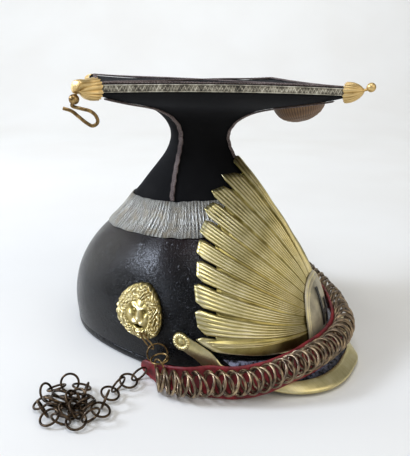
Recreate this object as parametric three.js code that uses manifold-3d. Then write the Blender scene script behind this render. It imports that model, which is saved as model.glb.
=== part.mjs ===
// Lancer's czapka, built piece by piece as the hat maker puts it together.
// Millimetres, +Z up.  The front corner of the square top points to -Y and the
// wearer's right is -X.  The hat stands on its lower rim at Z = 0, with the
// loose end of its chin chain laid on the same surface.
import * as THREE from 'three';
import { mergeVertices } from 'three/addons/utils/BufferGeometryUtils.js';
import Module from 'manifold-3d';

const wasm = await Module();
wasm.setup();

// ---------------------------------------------------------------- dimensions
const GAP = 0.3;              // running gap between neighbouring pieces
const AROUND = 32;            // facets round a section of the hat
const LEATHER = 2.4;          // wall of the leather skull
const CLOTH_WALL = 2.2;       // cloth over its carcass
const RIM_TOP = 6.2;          // top of the bound lower rim
const JOINT = 104;            // section where the pavilion stands on the skull
const BAND = { from: 91, to: 113.5, back: 0.4, thick: 1.4 };
const SQUARE = { corner: 122, height: 199.9, slope: 0.03, board: 2.4 };
const LACE = { corner: 124.4, thick: 1.8, half: 2.7 };
const EDGE_BRAID = { corner: 119, width: 5, thick: 1.2 };
const CROSS_BRAID = { reach: 111.5, width: 4, thick: 1.2 };
const SEAM_BRAID = { width: 3.6, thick: 1.2, from: 114.5, to: 194 };
const CAP = { sheet: 0.7, points: 12, flare: 7.5 };
const PLATE = { centre: 28, rise: 1.2, back: 2.9, sheet: 0.8, relief: 0.6, hole: 6 };
const BADGE = { wide: 31, tall: 35, foot: 19.5, back: 4.6, sheet: 1.1, rim: 0.9 };
const PEAK = { half: 0.9, seat: 2.0, slack: 9.5 };
const BINDING = { width: 9.5, sheet: 0.8, clear: 0.3, under: 4.5 };
const BOSS = { angle: 91, height: 43, wide: 17.6, tall: 18.6, back: 0.7, relief: 8 };
const STRAP = { thick: 1.8 };
const CURB = { radius: 6.4, wire: 0.75, pitch: 6, lean: 12, solids: 5, above: 2.6, margin: 26.4 };
const TAIL = { radius: 6, wire: 0.72, pitch: 9.15, flat: 22, steep: 66, propped: 1.8 };
const LINK = { wire: 0.52 };
const COCKADE = { x: 45.3, y: -62.2, z: 189.2, radius: 21.5, depth: 18.5, lean: 15 };

// With age the skull has racked: its right side has moved forward and its left
// side back, fully below one height and not at all above the other, and the
// rear less than the front.
const RACK = { amount: 0.22, full: 100, none: 165, rear: 70, front: -10 };

// Sections of the hat from the lower rim to the square top.  a: half width;
// front, back: how far it reaches from the hat's axis; mid: where it is widest;
// nf, nb: roundness in front and behind, 2 an ellipse and 1 a square set on its
// corner; tilt: rise for each mm to the rear; warp: share of the top's own warp.
const BODY = [
  { z: 0, a: 92.6, front: 107.5, back: 117.0, mid: 5.2, nf: 2, nb: 2, tilt: 0, warp: 0 },
  { z: 6.5, a: 93.6, front: 108.2, back: 118.1, mid: 5.2, nf: 2, nb: 2, tilt: 0, warp: 0 },
  { z: 18, a: 94.6, front: 108.6, back: 119.2, mid: 5.2, nf: 2, nb: 2, tilt: 0, warp: 0 },
  { z: 31, a: 94.2, front: 107.2, back: 119.0, mid: 5.1, nf: 1.92, nb: 2, tilt: -0.008, warp: 0 },
  { z: 42, a: 91.9, front: 103.7, back: 116.7, mid: 5.1, nf: 1.82, nb: 2, tilt: -0.016, warp: 0 },
  { z: 52, a: 88.3, front: 99.0, back: 113.2, mid: 5.1, nf: 1.73, nb: 2, tilt: -0.025, warp: 0 },
  { z: 61, a: 84.2, front: 93.9, back: 109.2, mid: 5.1, nf: 1.65, nb: 2, tilt: -0.036, warp: 0 },
  { z: 69, a: 79.8, front: 88.6, back: 104.8, mid: 5.1, nf: 1.6, nb: 2, tilt: -0.046, warp: 0 },
  { z: 76, a: 75.2, front: 83.6, back: 100.1, mid: 5.1, nf: 1.55, nb: 2, tilt: -0.055, warp: 0 },
  { z: 84, a: 69.0, front: 77.8, back: 93.5, mid: 5.0, nf: 1.5, nb: 2, tilt: -0.065, warp: 0 },
  { z: 91, a: 62.6, front: 72.6, back: 86.2, mid: 5.0, nf: 1.45, nb: 2, tilt: -0.075, warp: 0 },
  { z: 97, a: 57.0, front: 68.2, back: 79.2, mid: 5.0, nf: 1.4, nb: 2, tilt: -0.075, warp: 0 },
  { z: 104, a: 51.4, front: 62.8, back: 71.6, mid: 5.0, nf: 1.35, nb: 2, tilt: -0.074, warp: 0 },
  { z: 113.5, a: 45.9, front: 55.7, back: 63.5, mid: 4.7, nf: 1.32, nb: 2, tilt: -0.07, warp: 0 },
  { z: 120, a: 43.2, front: 50.8, back: 57.1, mid: 4.5, nf: 1.3, nb: 1.9, tilt: -0.06, warp: 0 },
  { z: 128, a: 40.2, front: 44.2, back: 49.7, mid: 3.5, nf: 1.28, nb: 1.8, tilt: -0.048, warp: 0 },
  { z: 137.5, a: 36.2, front: 36.0, back: 40.6, mid: 2.2, nf: 1.25, nb: 1.7, tilt: -0.03, warp: 0 },
  { z: 147, a: 31.9, front: 28.6, back: 32.8, mid: 1.0, nf: 1.25, nb: 1.6, tilt: -0.015, warp: 0 },
  { z: 154, a: 29.1, front: 25.4, back: 29.0, mid: 0.5, nf: 1.25, nb: 1.6, tilt: 0, warp: 0 },
  { z: 161, a: 28.2, front: 24.2, back: 27.6, mid: 0, nf: 1.25, nb: 1.6, tilt: 0.005, warp: 0 },
  { z: 167.5, a: 29.6, front: 26.8, back: 29.1, mid: 0, nf: 1.23, nb: 1.6, tilt: 0.01, warp: 0 },
  { z: 173.5, a: 34.4, front: 32.6, back: 34.0, mid: 0, nf: 1.2, nb: 1.5, tilt: 0.015, warp: 0 },
  { z: 178.5, a: 42.0, front: 41.2, back: 41.8, mid: 0, nf: 1.19, nb: 1.4, tilt: 0.02, warp: 0 },
  { z: 182.5, a: 52.0, front: 51.8, back: 52.4, mid: 0, nf: 1.15, nb: 1.3, tilt: 0.025, warp: 0.1 },
  { z: 185.8, a: 65.0, front: 65.8, back: 66.0, mid: 0, nf: 1.12, nb: 1.18, tilt: 0.03, warp: 0.2 },
  { z: 188.6, a: 82.0, front: 83.0, back: 83.0, mid: 0, nf: 1.08, nb: 1.08, tilt: 0.03, warp: 0.4 },
  { z: 192.2, a: 102.0, front: 102.4, back: 102.4, mid: 0, nf: 1.03, nb: 1.02, tilt: 0.03, warp: 0.7 },
  { z: 197.2, a: 122.0, front: 122.0, back: 122.0, mid: 0, nf: 1, nb: 1, tilt: 0.03, warp: 1 },
];

// How far the middle of each side of the square has risen or sunk with age.
const WARP = { frontRight: 1.6, backLeft: -3.4, rightBack: 0, leftFront: -1 };

// The peak from its front middle round to its end at the side: the angle round
// the skull and the height where it is sewn on, then its outer edge.
const PEAK_ROWS = [
  { round: 0, seam: 15.2, x: 0, y: -139.8, z: 3.6 },
  { round: 10, seam: 15.3, x: 17, y: -139, z: 3.5 },
  { round: 19, seam: 15.5, x: 32, y: -136.2, z: 3.4 },
  { round: 28, seam: 15.8, x: 46, y: -130.4, z: 3.3 },
  { round: 36, seam: 16.2, x: 58, y: -121.4, z: 3.3 },
  { round: 44, seam: 17, x: 68, y: -109.4, z: 3.6 },
  { round: 51, seam: 18, x: 75.8, y: -95, z: 4.8 },
  { round: 57, seam: 18.6, x: 81.4, y: -79.6, z: 7.8 },
  { round: 61.5, seam: 19.4, x: 86, y: -65, z: 11 },
];
// Brass arm carried on from the end of the binding, on the skull: the angle
// round it and the height of the arm's lower and upper edge.
const ARM_ROWS = [
  { low: [64.6, 14.6], high: [62.4, 25.4], lift: 6.4 },
  { low: [69.4, 20.4], high: [66.6, 30.2], lift: 5.4 },
  { low: [73.4, 24.8], high: [70.8, 34.6], lift: 5.2 },
];
const ARM_END = { angle: 73.6, height: 31, radius: 6.1, lift: 4.8 };

// Tongues of the sun plate from the middle one outwards: the angle of the slot
// after it, how far it reaches, and how far in that slot is cut.
const TONGUES = [
  { slot: 3.7, reach: 141.6, cut: 127 },
  { slot: 12.8, reach: 129.5, cut: 117.8 },
  { slot: 23.2, reach: 122.5, cut: 109.5 },
  { slot: 34.2, reach: 117, cut: 106 },
  { slot: 44.8, reach: 113.5, cut: 103 },
  { slot: 54.6, reach: 112.6, cut: 100.6 },
  { slot: 64.9, reach: 113, cut: 101 },
  { slot: 75.4, reach: 116, cut: 104 },
  { slot: 85.8, reach: 119.2, cut: 108.5 },
];
// Lower edge of the plate from under the last tongue in to the middle.
const PLATE_FOOT = [
  { around: 119.5, height: 30.8 }, { around: 112.5, height: 25.6 }, { around: 104, height: 24.4 },
  { around: 93, height: 23.2 }, { around: 80, height: 22 }, { around: 66, height: 21 },
  { around: 51, height: 20 }, { around: 36, height: 19.2 }, { around: 20, height: 18.5 },
];

// Chin strap from the wearer's right, where it stands along the surface and on
// the peak, round to the boss on the left: lower and upper edge.
const STRAP_ROWS = [
  { low: [-103.2, -18.5, 3.6], high: [-103.2, -19, 13.2] },
  { low: [-105.2, -29, 1.2], high: [-105, -30, 14] },
  { low: [-108.8, -42.5, 0.9], high: [-108.6, -44.5, 18.4] },
  { low: [-107.8, -60, 0.9], high: [-106.8, -61.5, 21.6] },
  { low: [-101.8, -75.4, 0.9], high: [-97, -72.2, 21.6] },
  { low: [-93.8, -91.6, 0.9], high: [-88, -86.2, 21] },
  { low: [-83, -106.6, 4.2], high: [-75.6, -99.6, 22.6] },
  { low: [-68.2, -120, 10.5], high: [-60.6, -111, 26.4] },
  { low: [-50, -126.6, 11], high: [-43.6, -116, 28] },
  { low: [-29, -130.2, 11.6], high: [-24, -119.4, 29] },
  { low: [-9, -130.6, 12.8], high: [-6, -118.8, 30.4] },
  { low: [8, -125.8, 14.4], high: [7.4, -114.4, 32.6] },
  { low: [24.6, -114, 15.6], high: [23.6, -105.6, 34.6] },
  { low: [39.8, -101.8, 16.4], high: [38.6, -95.6, 35.6] },
  { low: [53.6, -88, 17.2], high: [52, -83.4, 36.6] },
  { low: [67.2, -73.2, 18.6], high: [65.6, -69.4, 38] },
  { low: [80.4, -55.4, 20.8], high: [79, -52, 40.2] },
  { low: [90.8, -34, 23.2], high: [89.4, -31.6, 42.6] },
  { low: [98, -13, 26], high: [96.8, -11.6, 43.4] },
  { low: [100.6, -2, 27], high: [99.8, -1, 39] },
];

// Middle line of the chain's loose end on the surface, from the strap outwards.
const TAIL_ROUTE = [
  { x: -108.6, y: -24.6 }, { x: -117.6, y: -22.4 }, { x: -127, y: -20.6 }, { x: -135.5, y: -20.8 },
  { x: -144, y: -22.6 }, { x: -153.5, y: -28 }, { x: -164, y: -30 }, { x: -174, y: -24.4 },
  { x: -180, y: -13.5 }, { x: -178.6, y: -1 }, { x: -170, y: 9.6 }, { x: -158, y: 13.6 },
  { x: -148, y: 8.4 }, { x: -145.6, y: -2 }, { x: -152.4, y: -9.6 }, { x: -163, y: -9 },
];

// --------------------------------------------------------------- solid makers
// A closed solid from cross sections with the same number of points: each is
// joined to the next, and the ends are either joined too or closed by a fan.
function loft(loops, ends = 'caps') {
  const count = loops[0].length;
  const points = loops.flat();
  const faces = [];
  const pairs = ends === 'ring' ? loops.length : loops.length - 1;
  for (let i = 0; i < pairs; i += 1) {
    const near = i * count;
    const far = ((i + 1) % loops.length) * count;
    for (let j = 0; j < count; j += 1) {
      const k = (j + 1) % count;
      faces.push(near + j, near + k, far + k, near + j, far + k, far + j);
    }
  }
  if (ends === 'caps') {
    for (const [start, turn] of [[0, 1], [(loops.length - 1) * count, 0]]) {
      const middle = new THREE.Vector3();
      for (let j = 0; j < count; j += 1) middle.addScaledVector(points[start + j], 1 / count);
      const hub = points.push(middle) - 1;
      for (let j = 0; j < count; j += 1) {
        const k = (j + 1) % count;
        if (turn) faces.push(hub, start + k, start + j);
        else faces.push(hub, start + j, start + k);
      }
    }
  }
  return facesOut(points, faces);
}

function facesOut(points, faces) {
  let volume = 0;
  const cross = new THREE.Vector3();
  for (let i = 0; i < faces.length; i += 3) {
    cross.crossVectors(points[faces[i + 1]], points[faces[i + 2]]);
    volume += points[faces[i]].dot(cross);
  }
  if (volume < 0) faces.reverse();
  const geometry = new THREE.BufferGeometry();
  geometry.setAttribute('position', new THREE.Float32BufferAttribute(points.flatMap((p) => p.toArray()), 3));
  geometry.setIndex(faces);
  return geometry;
}

function toManifold(geometry) {
  const bare = geometry.clone();
  bare.deleteAttribute('normal');
  bare.deleteAttribute('uv');
  const merged = mergeVertices(bare, 1e-4);
  const mesh = new wasm.Mesh({
    numProp: 3,
    vertProperties: new Float32Array(merged.getAttribute('position').array),
    triVerts: new Uint32Array(merged.getIndex().array),
  });
  return new wasm.Manifold(mesh);
}

function join(geometries) {
  const solids = geometries.map(toManifold);
  const whole = solids.reduce((sum, solid) => sum.add(solid));
  const mesh = whole.getMesh();
  const geometry = new THREE.BufferGeometry();
  geometry.setAttribute('position', new THREE.BufferAttribute(Float32Array.from(mesh.vertProperties), 3));
  geometry.setIndex(Array.from(mesh.triVerts));
  return geometry;
}

// A wire bent along a curve, closed or with flat ends.
function wire(curve, radius, steps, sides, closed = false) {
  const frames = curve.computeFrenetFrames(steps, closed);
  const loops = [];
  const last = closed ? steps - 1 : steps;
  for (let i = 0; i <= last; i += 1) {
    const centre = curve.getPointAt(i / steps);
    const loop = [];
    for (let j = 0; j < sides; j += 1) {
      const turn = (j / sides) * 2 * Math.PI;
      loop.push(centre.clone()
        .addScaledVector(frames.normals[i], radius * Math.cos(turn))
        .addScaledVector(frames.binormals[i], radius * Math.sin(turn)));
    }
    loops.push(loop);
  }
  return loft(loops, closed ? 'ring' : 'caps');
}

function ring(centre, axis, radius, thickness, steps, sides) {
  const geometry = new THREE.TorusGeometry(radius, thickness, sides, steps);
  const turn = new THREE.Quaternion().setFromUnitVectors(new THREE.Vector3(0, 0, 1), axis.clone().normalize());
  geometry.applyQuaternion(turn);
  geometry.translate(centre.x, centre.y, centre.z);
  return geometry;
}

const smooth = (rows) => new THREE.CatmullRomCurve3(rows.map((p) => new THREE.Vector3(p.x, p.y, p.z ?? 0)), false, 'centripetal');

// ------------------------------------------------------------ the hat's shape
const ease = (t) => {
  const held = Math.min(1, Math.max(0, t));
  return held * held * (3 - 2 * held);
};

// Moves a point from the hat as it was made to the hat as it has racked.
function aged(point) {
  const byHeight = ease((RACK.none - point.z) / (RACK.none - RACK.full));
  const byPlace = ease((RACK.rear - point.y) / (RACK.rear - RACK.front));
  point.y += RACK.amount * byHeight * byPlace * point.x;
  return point;
}

function between(rows, key, at) {
  const found = rows.findIndex((row) => row[key] >= at);
  const high = found < 0 ? rows.length - 1 : Math.max(1, found);
  const low = rows[high - 1];
  const share = (at - low[key]) / (rows[high][key] - low[key]);
  const mixed = {};
  for (const name of Object.keys(low)) mixed[name] = low[name] + share * (rows[high][name] - low[name]);
  return mixed;
}

// Rise of the square top at a point from its warped sides.
function warpAt(x, y) {
  const p = Math.min(1, Math.max(-1, (-x - y) / SQUARE.corner));
  const q = Math.min(1, Math.max(-1, (x - y) / SQUARE.corner));
  const across = WARP.backLeft + (WARP.frontRight - WARP.backLeft) * (1 + p) / 2;
  const along = WARP.rightBack + (WARP.leftFront - WARP.rightBack) * (1 + q) / 2;
  return (1 - q * q) * across * p * p + (1 - p * p) * along * q * q;
}

const topZ = (x, y) => SQUARE.height + SQUARE.slope * y + warpAt(x, y);

// Slant of the outline at a height, as a unit vector outwards and upwards.
function slant(height) {
  const below = between(BODY, 'z', Math.max(0, height - 2));
  const above = between(BODY, 'z', Math.min(197.2, height + 2));
  const outline = new THREE.Vector2(above.a - below.a, above.z - below.z).normalize();
  return { out: outline.y, up: -outline.x };
}

// Point on the hat at a section and an angle from the front towards the
// wearer's left, lifted off the surface.
function bodyPoint(section, angle, lift = 0) {
  const row = between(BODY, 'z', section);
  const lean = slant(section);
  const sx = Math.sin(angle);
  const sy = -Math.cos(angle);
  const round = sy < 0 ? row.nf : row.nb;
  const reach = (sy < 0 ? row.mid + row.front : row.back - row.mid) + lift * lean.out;
  const x = Math.sign(sx) * Math.abs(sx) ** (2 / round) * (row.a + lift * lean.out);
  const y = row.mid + Math.sign(sy) * Math.abs(sy) ** (2 / round) * reach;
  const level = section === 0 ? 0 : 1;
  const z = row.z + row.tilt * y + row.warp * warpAt(x, y) + level * lift * lean.up;
  return new THREE.Vector3(x, y, z);
}

// The same at a height over the surface the hat stands on.
function pointAt(height, angle, lift = 0) {
  let section = height;
  for (let i = 0; i < 6; i += 1) section += height - bodyPoint(section, angle, lift).z;
  return bodyPoint(section, angle, lift);
}

// The same at a distance round the hat from its front middle, positive to the
// wearer's left.
function aroundPoint(distance, height, lift) {
  const steps = 72;
  const turn = distance < 0 ? -1 : 1;
  let walked = 0;
  let last = pointAt(height, 0, lift);
  for (let i = 1; i <= steps; i += 1) {
    const next = pointAt(height, turn * Math.PI * (i / steps), lift);
    const step = Math.hypot(next.x - last.x, next.y - last.y);
    if (walked + step >= Math.abs(distance)) {
      const share = (Math.abs(distance) - walked) / step;
      return pointAt(height, turn * Math.PI * ((i - 1 + share) / steps), lift);
    }
    walked += step;
    last = next;
  }
  return last;
}

function bodyLoop(section, lift) {
  const loop = [];
  for (let j = 0; j < AROUND; j += 1) loop.push(bodyPoint(section, (j / AROUND) * 2 * Math.PI, lift));
  return loop;
}

// A wall between two sections of the hat, from one lift to another; its inside
// is followed more coarsely than its outside.
function wall(low, high, inner, outer) {
  const rows = BODY.map((row) => row.z).filter((z) => z > low + 0.8 && z < high - 0.8);
  const outside = [low, ...rows, high];
  const inside = [low, ...rows.filter((z, i) => i % 2 === 1), high].reverse();
  return loft([...outside.map((z) => bodyLoop(z, outer)), ...inside.map((z) => bodyLoop(z, inner))], 'ring');
}

// -------------------------------------------------------------------- finishes
const finish = (color, roughness, metalness = 0) => new THREE.MeshStandardMaterial({ color, roughness, metalness });
const BLACK_LEATHER = finish('#15151a', 0.22);
const BLACK_CLOTH = finish('#17171a', 0.9);
const SILVER_LACE = finish('#8f8a78', 0.55, 0.4);
const GREY_BRAID = finish('#6a5f5c', 0.75);
const BRASS = finish('#c9b458', 0.28, 1);
const GILT = finish('#d9b772', 0.35, 1);
const WHITE_METAL = finish('#9a927c', 0.4, 1);
const DARK_PAINT = finish('#2a2826', 0.6);
const CHAIN_METAL = finish('#7a6650', 0.4, 1);
const DARK_CHAIN = finish('#4a4038', 0.45, 1);
const RED_LEATHER = finish('#85232a', 0.6);
const BROWN_CORD = finish('#6b5038', 0.8);

const hat = new THREE.Group();

function add(name, geometry, material) {
  const mesh = new THREE.Mesh(geometry, material);
  mesh.name = name;
  hat.add(mesh);
}

// A piece modelled on the hat as it was made, racked with the rest.
function addAged(name, geometry, material) {
  const points = geometry.getAttribute('position');
  for (let i = 0; i < points.count; i += 1) {
    const point = aged(new THREE.Vector3().fromBufferAttribute(points, i));
    points.setXYZ(i, point.x, point.y, point.z);
  }
  add(name, geometry, material);
}

// ------------------------------------------------------------- skull and crown
addAged('skull', wall(RIM_TOP + GAP, JOINT, -LEATHER, 0), BLACK_LEATHER);
addAged('skull_rim', wall(0, RIM_TOP, -LEATHER - 0.6, 0.1), BLACK_LEATHER);
addAged('pavilion', wall(JOINT + GAP, 197.2, -CLOTH_WALL, 0), BLACK_CLOTH);
addAged('silver_band', wall(BAND.from, BAND.to, BAND.back, BAND.back + BAND.thick), SILVER_LACE);

// Square loop of the top at a corner distance, a height above the top's middle
// plane at each point.
function squareLoop(corner, rise) {
  const loop = [];
  for (let j = 0; j < AROUND; j += 1) {
    const turn = (j / AROUND) * 2 * Math.PI;
    const x = Math.sign(Math.sin(turn)) * Math.sin(turn) ** 2 * corner;
    const y = -Math.sign(Math.cos(turn)) * Math.cos(turn) ** 2 * corner;
    loop.push(new THREE.Vector3(x, y, topZ(x, y) + rise));
  }
  return loop;
}

function squareRing(outer, inner, low, high) {
  const loops = [squareLoop(outer, low), squareLoop(outer, high), squareLoop(inner, high), squareLoop(inner, low)];
  return loft(loops, 'ring');
}

const BOARD_LOW = -0.4;
const BOARD_TOP = BOARD_LOW + SQUARE.board;
{
  const shares = [0.35, 0.7, 1];
  const below = shares.map((share) => squareLoop(share * (SQUARE.corner - 0.4), BOARD_LOW));
  const above = shares.map((share) => squareLoop(share * (SQUARE.corner - 0.4), BOARD_TOP)).reverse();
  add('top_board', loft([...below, ...above]), BLACK_CLOTH);
}
add('rim_lace', squareRing(LACE.corner, LACE.corner - LACE.thick, -LACE.half, LACE.half), SILVER_LACE);
const BRAID_LOW = BOARD_TOP + GAP + 0.1;
const BRAID_HIGH = BRAID_LOW + EDGE_BRAID.thick;
add(
  'top_edge_braid',
  squareRing(EDGE_BRAID.corner, EDGE_BRAID.corner - EDGE_BRAID.width, BRAID_LOW, BRAID_HIGH),
  GREY_BRAID,
);

// A flat strip over the top between two corners, inside the edge braid.
function crossStrip(angle) {
  const loops = [];
  const steps = 10;
  for (let i = 0; i <= steps; i += 1) {
    const along = CROSS_BRAID.reach * (2 * i / steps - 1);
    const loop = [];
    for (const [side, rise] of [[-1, BRAID_LOW + 0.1], [1, BRAID_LOW + 0.1], [1, BRAID_HIGH], [-1, BRAID_HIGH]]) {
      const across = side * CROSS_BRAID.width / 2;
      const x = along * Math.sin(angle) + across * Math.cos(angle);
      const y = -along * Math.cos(angle) + across * Math.sin(angle);
      loop.push(new THREE.Vector3(x, y, topZ(x, y) + rise));
    }
    loops.push(loop);
  }
  return loft(loops);
}
add('top_cross_braid', join([crossStrip(0), crossStrip(Math.PI / 2)]), GREY_BRAID);

// ------------------------------------------------ braids and caps at 4 corners
const CORNERS = [
  { name: 'front', angle: 0, rise: -0.4, tip: 1.8, bent: 0 },
  { name: 'left', angle: Math.PI / 2, rise: -0.4, tip: 0, bent: 0 },
  { name: 'back', angle: Math.PI, rise: -0.4, tip: 0, bent: 0 },
  { name: 'right', angle: -Math.PI / 2, rise: -0.4, tip: -1.2, bent: 1 },
];

function seamBraid(angle) {
  const side = new THREE.Vector3(Math.cos(angle), Math.sin(angle), 0);
  const heights = BODY.map((row) => row.z).filter((z) => z > SEAM_BRAID.from + 1 && z < SEAM_BRAID.to - 1);
  const half = SEAM_BRAID.width / 2;
  const loops = [SEAM_BRAID.from, ...heights, SEAM_BRAID.to].map((section) => {
    const near = bodyPoint(section, angle, GAP + 0.1);
    const far = bodyPoint(section, angle, GAP + 0.1 + SEAM_BRAID.thick);
    return [
      near.clone().addScaledVector(side, -half), near.clone().addScaledVector(side, half),
      far.clone().addScaledVector(side, half), far.clone().addScaledVector(side, -half),
    ];
  });
  return loft(loops);
}

// A pressed metal cap over a corner of the top: a point with an open mouth.
const CAP_ROWS = [
  { at: 118.9, wide: 7.6, tall: 6.8 },
  { at: 121.8, wide: 6.6, tall: 6.3 },
  { at: 124.8, wide: 5.0, tall: 5.2 },
  { at: 127.4, wide: 3.1, tall: 3.6 },
  { at: 129.2, wide: 1.5, tall: 1.9 },
  { at: 129.9, wide: 0.6, tall: 0.8 },
];

function capLoop(row, corner, shrink) {
  const out = new THREE.Vector3(Math.sin(corner.angle), -Math.cos(corner.angle), 0);
  const side = new THREE.Vector3(Math.cos(corner.angle), Math.sin(corner.angle), 0);
  const toTip = (row.at - CAP_ROWS[0].at) / (CAP_ROWS[5].at - CAP_ROWS[0].at);
  const centre = out.clone().multiplyScalar(row.at);
  centre.z = SQUARE.height + SQUARE.slope * centre.y + corner.rise + corner.tip * toTip;
  const square = (value) => Math.sign(value) * Math.abs(value) ** 0.72;
  const loop = [];
  for (let j = 0; j < CAP.points; j += 1) {
    const turn = ((j + 0.5) / CAP.points) * 2 * Math.PI;
    const bent = corner.bent * Math.max(0, -Math.cos(turn)) * Math.max(0, 0.35 + Math.sin(turn));
    loop.push(centre.clone()
      .addScaledVector(side, (row.wide - shrink) * square(Math.cos(turn)))
      .addScaledVector(out, bent * CAP.flare * toTip)
      .add(new THREE.Vector3(0, 0, (row.tall - shrink) * square(Math.sin(turn)) + bent * 3 * toTip)));
  }
  return loop;
}

function cornerCap(corner) {
  const outside = [...CAP_ROWS].reverse().map((row) => capLoop(row, corner, 0));
  const inside = CAP_ROWS.slice(0, 3).map((row) => capLoop(row, corner, CAP.sheet));
  return loft([...outside, ...inside]);
}

for (const corner of CORNERS) {
  addAged(`seam_braid_${corner.name}`, seamBraid(corner.angle), GREY_BRAID);
  let cap = cornerCap(corner);
  if (corner.name === 'front') {
    const knob = new THREE.SphereGeometry(3.1, 12, 8);
    knob.translate(0, -134.4, 199.7);
    const stem = wire(smooth([{ x: 0, y: -128.4, z: 197.2 }, { x: 0, y: -133.4, z: 199.2 }]), 0.9, 2, 6);
    cap = join([cap, stem, knob]);
  }
  add(`corner_cap_${corner.name}`, cap, GILT);
}

// Hook of the right corner: a ball under the cap's point and a bent wire, on
// which the end of the chin chain is hung when the hat is put away.
const HOOK = { x: -132.2, y: 3, ball: 3.2, ballZ: 193.9, wire: 1.1 };
const HOOK_ROUTE = [
  [-132.6, 3.6, 192], [-132.9, 4.3, 190.2], [-129.9, -0.1, 188.4], [-126.9, -4.5, 187],
  [-125.2, -7, 184.6], [-124.5, -8.2, 181.2], [-124.9, -7.4, 179.2], [-126.4, -5.2, 178.1],
  [-128.4, -2.3, 180], [-130.9, 1.4, 183.7], [-133.2, 4.8, 187], [-136, 8.9, 188.6],
];
{
  const bent = wire(smooth(HOOK_ROUTE.map(([x, y, z]) => ({ x, y, z }))), HOOK.wire, 22, 6);
  const ball = new THREE.SphereGeometry(HOOK.ball, 12, 8);
  ball.translate(HOOK.x, HOOK.y, HOOK.ballZ);
  const eye = wire(smooth([{ x: -132, y: 2.7, z: 195.8 }, { x: -131.2, y: 1.4, z: 197.3 }]), 0.8, 2, 6);
  add('corner_hook', join([ball, eye, bent]), GILT);
}

// ------------------------------------------------------- sun plate and its badge
// Point of the plate at a distance from its centre and an angle from upright,
// positive to the wearer's left.
function platePoint(reach, degrees, lift) {
  const turn = THREE.MathUtils.degToRad(degrees);
  return aroundPoint(reach * Math.sin(turn), PLATE.centre + (reach * Math.cos(turn)) / PLATE.rise, lift);
}

// Outline of the plate's half on the wearer's left from the middle tongue down
// to the lower edge; ridge marks the line along which a tongue stands proud.
function plateHalf() {
  const stations = [{ at: 0, reach: TONGUES[0].reach, ridge: 1 }];
  let start = 0;
  TONGUES.forEach((tongue, i) => {
    const slotHalf = (57.3 * 0.95) / tongue.reach;
    const end = tongue.slot - slotHalf;
    if (i > 0) {
      stations.push({ at: start, reach: tongue.reach - 5, ridge: 0 });
      stations.push({ at: start + 0.3 * (end - start), reach: tongue.reach, ridge: 1 });
      stations.push({ at: start + 0.7 * (end - start), reach: tongue.reach, ridge: 1 });
    }
    stations.push({ at: end, reach: tongue.reach - 5, ridge: 0 });
    stations.push({ at: end + 0.15, reach: tongue.cut, ridge: 0 });
    start = tongue.slot + slotHalf;
    stations.push({ at: start - 0.15, reach: tongue.cut, ridge: 0 });
  });
  stations.push({ at: start, reach: 119, ridge: 0 });
  for (const foot of PLATE_FOOT) {
    const up = (foot.height - PLATE.centre) * PLATE.rise;
    const at = THREE.MathUtils.radToDeg(Math.atan2(foot.around, up));
    stations.push({ at, reach: Math.hypot(foot.around, up), ridge: 0 });
  }
  return stations;
}

{
  const half = plateHalf();
  const foot = { at: 180, reach: (PLATE.centre - 18.3) * PLATE.rise, ridge: 0 };
  const round = [...half.slice(1).reverse().map((s) => ({ ...s, at: -s.at })), ...half, foot];
  const loops = round.map((s) => {
    const steps = [0, 0.3, 0.55, 0.78, 1].map((share) => PLATE.hole + share * (s.reach - PLATE.hole));
    const raised = (r) => PLATE.back + PLATE.sheet + (s.ridge ? PLATE.relief * Math.min(1, r / 60) : 0);
    const back = steps.map((r) => platePoint(r, s.at, PLATE.back));
    const face = steps.map((r) => platePoint(r, s.at, raised(r))).reverse();
    return [...back, ...face];
  });
  addAged('sun_plate', loft(loops, 'ring'), BRASS);
}

// Badge: the visible upper part of a domed oval, cut level with the plate.
{
  const stations = 24;
  const profile = [
    { share: 0.3, high: 1.7 }, { share: 0.62, high: 1.5 },
    { share: 0.86, high: 1.1 }, { share: 0.93, high: 1.9 }, { share: 1, high: 1.1 },
  ];
  const oval = (share, lift) => Array.from({ length: stations }, (_, j) => {
    const turn = (j / stations) * 2 * Math.PI;
    const up = share * BADGE.tall * Math.cos(turn);
    const foot = share * (PLATE.centre - BADGE.foot);
    return aroundPoint(share * BADGE.wide * Math.sin(turn), PLATE.centre + Math.max(up, -foot), lift);
  });
  const under = profile.map((p) => oval(p.share, BADGE.back));
  const over = profile.map((p) => oval(p.share, BADGE.back + p.high)).reverse();
  addAged('plate_badge', loft([...under, ...over]), WHITE_METAL);
}

// Plain raised numeral on the badge, of straight bars.
{
  const low = BADGE.back + 2.2;
  const bars = [
    { x0: -8.6, x1: -5.6, z0: 27, z1: 55, long: false },
    { x0: -8.6, x1: 7.6, z0: 34, z1: 37, long: true },
    { x0: 1.6, x1: 4.6, z0: 25, z1: 44, long: false },
  ];
  const bar = (b) => {
    const steps = 4;
    const loops = [];
    for (let i = 0; i <= steps; i += 1) {
      const share = i / steps;
      const edge = (side, lift) => (b.long
        ? aroundPoint(b.x0 + share * (b.x1 - b.x0), side ? b.z1 : b.z0, lift)
        : aroundPoint(side ? b.x1 : b.x0, b.z0 + share * (b.z1 - b.z0), lift));
      loops.push([edge(0, low), edge(1, low), edge(1, low + 0.8), edge(0, low + 0.8)]);
    }
    return loft(loops);
  };
  addAged('badge_numeral', join(bars.map(bar)), DARK_PAINT);
}

// ------------------------------------------------------------ peak and binding
// Both sides of a table of rows: the wearer's right end first.
const PEAK_ROUND = [
  ...[...PEAK_ROWS].reverse().map((row) => ({ ...row, side: -1 })),
  ...PEAK_ROWS.slice(1).map((row) => ({ ...row, side: 1 })),
];

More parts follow.
